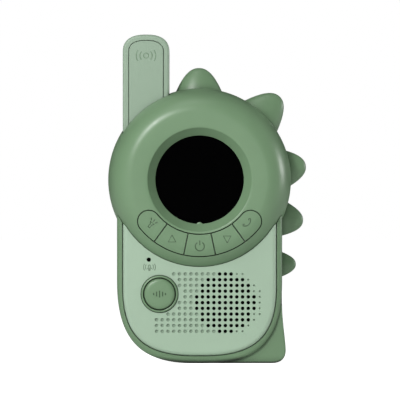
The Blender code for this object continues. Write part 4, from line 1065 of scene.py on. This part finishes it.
# ---------------------------------------------------------------- belt clip
# A sprung clip on a steel pin between two lugs: a long tongue with a hooked end, a ribbed thumb
# tab above, and a torsion spring between its knuckles. One arm of the spring goes with the clip.

CLIP_LOW, CLIP_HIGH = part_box("belt_clip")
tongue_outline = round_rectangle(CLIP_LOW.x, CLIP_LOW.z, CLIP_HIGH.x, CLIP_HIGH.z, 3.0 * MM)
clip = plate("belt_clip_fine", tongue_outline, CLIP_HIGH.y, 19.2 * MM, 0.6 * MM, 4)
hook = ((-7.8 * MM, 16 * MM, CLIP_LOW.z + 0.4 * MM), (7.8 * MM, 20 * MM, CLIP_LOW.z + 2.4 * MM))
join(clip, block("hook", *hook, 0.6 * MM))
for side in (-1, 1):
    x = side * 3.8 * MM
    join(clip, rod("knuckle", (x, CLIP_Y, CLIP_Z), 2.4 * MM, 2.2 * MM, "X", 48))
    web = ((x - 1.09 * MM, CLIP_Y, CLIP_Z - 2.2 * MM), (x + 1.09 * MM, 20 * MM, CLIP_Z + 2.2 * MM))
    join(clip, block("web", *web))
cut(clip, rod("pin hole", (0, CLIP_Y, CLIP_Z), 1.3 * MM, 30 * MM, "X"))
for step in range(3):
    groove = (0, CLIP_HIGH.y + 0.25 * MM, (109.5 + 1.8 * step) * MM)
    cut(clip, rod("groove", groove, 0.6 * MM, 11 * MM, "X", 24))
panel_line = [(x * 0.62, 73 * MM + (z - CLIP_LOW.z) * 0.58) for x, z in tongue_outline]
cut(clip, plate("recess", panel_line, CLIP_HIGH.y - 0.35 * MM, CLIP_HIGH.y + MM))
smooth(clip, dark_green)
stands_for(clip, "belt_clip", "belt_clip")
dress(plated, "clip_pin")

SPRING_RADIUS = 1.7 * MM
SPRING_HALF = 1.8 * MM
SPRING_ARM = 5.0 * MM


def spring_turns(first, last):
    """Points of the coil between two angles; the whole of it runs from 180 to 1440 degrees."""
    points = []
    for turn in range(first, last + 1, 15):
        across = SPRING_HALF * (2 * (turn - 180) / (1440 - 180) - 1)
        y = CLIP_Y + SPRING_RADIUS * math.cos(math.radians(turn))
        points.append((across, y, CLIP_Z + SPRING_RADIUS * math.sin(math.radians(turn))))
    return points


spring = [(-SPRING_HALF, CLIP_Y - SPRING_RADIUS, CLIP_Z + SPRING_ARM)] + spring_turns(180, 1380)
spring = wire("clip_spring_fine", spring, 0.3 * MM)
smooth(spring, plated)
stands_for(spring, "clip_spring", "case")
arm = spring_turns(1350, 1440) + [(SPRING_HALF, CLIP_Y + SPRING_RADIUS, CLIP_Z + SPRING_ARM)]
arm = wire("clip_spring_arm", arm, 0.3 * MM)
smooth(arm, plated)
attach(arm, "belt_clip")


# ---------------------------------------------------------------- camera, floor and light
# A long lens looks level at the front. The floor is a pale flat plane. A soft box at the upper left
# is seen in the gloss, a light from the left shapes the head, a broad one fills from the front, and
# two weak ones rim the right side and the top.

bpy.ops.object.select_all(action="DESELECT")
CAMERA_DISTANCE = 2.0
FIELD_WIDTH = 190 * MM
SENSOR_WIDTH = 36.0
place = (0.2 * MM, -CAMERA_DISTANCE, 77.3 * MM)
bpy.ops.object.camera_add(location=place, rotation=(math.pi / 2, 0, 0))
camera = bpy.context.active_object
camera.data.lens = SENSOR_WIDTH * CAMERA_DISTANCE / FIELD_WIDTH
camera.data.sensor_width = SENSOR_WIDTH
camera.data.clip_start = 0.05
camera.data.clip_end = 20.0
bpy.context.scene.camera = camera

bpy.ops.mesh.primitive_plane_add(size=8.0, location=(0, 2.0, 0))
floor = bpy.context.active_object
floor.name = "floor"
paper, tree, surface = new_material("pale floor paper")
feed(tree, surface, {"Base Color": (0.92, 0.92, 0.92, 1), "Roughness": 0.9})
feed(tree, surface, {"Specular IOR Level": 0.0})
white = add_node(tree, "ShaderNodeEmission", {"Color": (1, 1, 1, 1), "Strength": 1.0})
seen = add_node(tree, "ShaderNodeLightPath").outputs["Is Camera Ray"]
matt = surface.outputs["BSDF"]
both = add_node(tree, "ShaderNodeAddShader", {0: matt, 1: white.outputs["Emission"]})
glow = add_node(tree, "ShaderNodeMixShader", {0: seen, 1: matt, 2: both.outputs["Shader"]})
feed(tree, tree.nodes["Material Output"], {"Surface": glow.outputs["Shader"]})
floor.data.materials.append(paper)

world = bpy.data.worlds.new("studio")
bpy.context.scene.world = world
world.use_nodes = True
tree = world.node_tree
room = feed(tree, tree.nodes["Background"], {"Color": (0.95, 0.98, 1.0, 1), "Strength": 0.03})
backdrop = add_node(tree, "ShaderNodeBackground", {"Color": (1, 1, 1, 1), "Strength": 1.0})
seen = add_node(tree, "ShaderNodeLightPath").outputs["Is Camera Ray"]
views = {0: seen, 1: room.outputs[0], 2: backdrop.outputs[0]}
choose = add_node(tree, "ShaderNodeMixShader", views)
feed(tree, tree.nodes["World Output"], {"Surface": choose.outputs[0]})


def lamp(name, direction, distance, size, watts, glossy=True):
    """A square soft box that aims at the head from a direction."""
    way = Vector(direction).normalized()
    aim = Vector((0, 0, HEAD_Z))
    turn = way.to_track_quat("Z", "Y").to_euler()
    bpy.ops.object.light_add(type="AREA", location=aim + way * distance, rotation=turn)
    light = bpy.context.active_object
    light.name = name
    light.data.size = size
    light.data.energy = watts
    light.visible_glossy = glossy
    return light


lamp("key soft box", (-0.40, -0.80, 0.46), 1.0, 0.20, 6.0)
lamp("left light", (-0.93, -0.33, 0.18), 1.2, 0.20, 1.0, glossy=False)
lamp("front light", (0.02, -1.0, 0.0), 1.6, 0.6, 7.0, glossy=False)
lamp("right rim light", (1.0, 0.16, 0.16), 0.9, 0.22, 2.4)
lamp("top light", (-0.15, -0.35, 1.0), 1.1, 0.5, 1.4)
bpy.context.scene.view_settings.view_transform = "Standard"
bpy.context.scene.view_settings.look = "None"

bpy.context.view_layer.update()
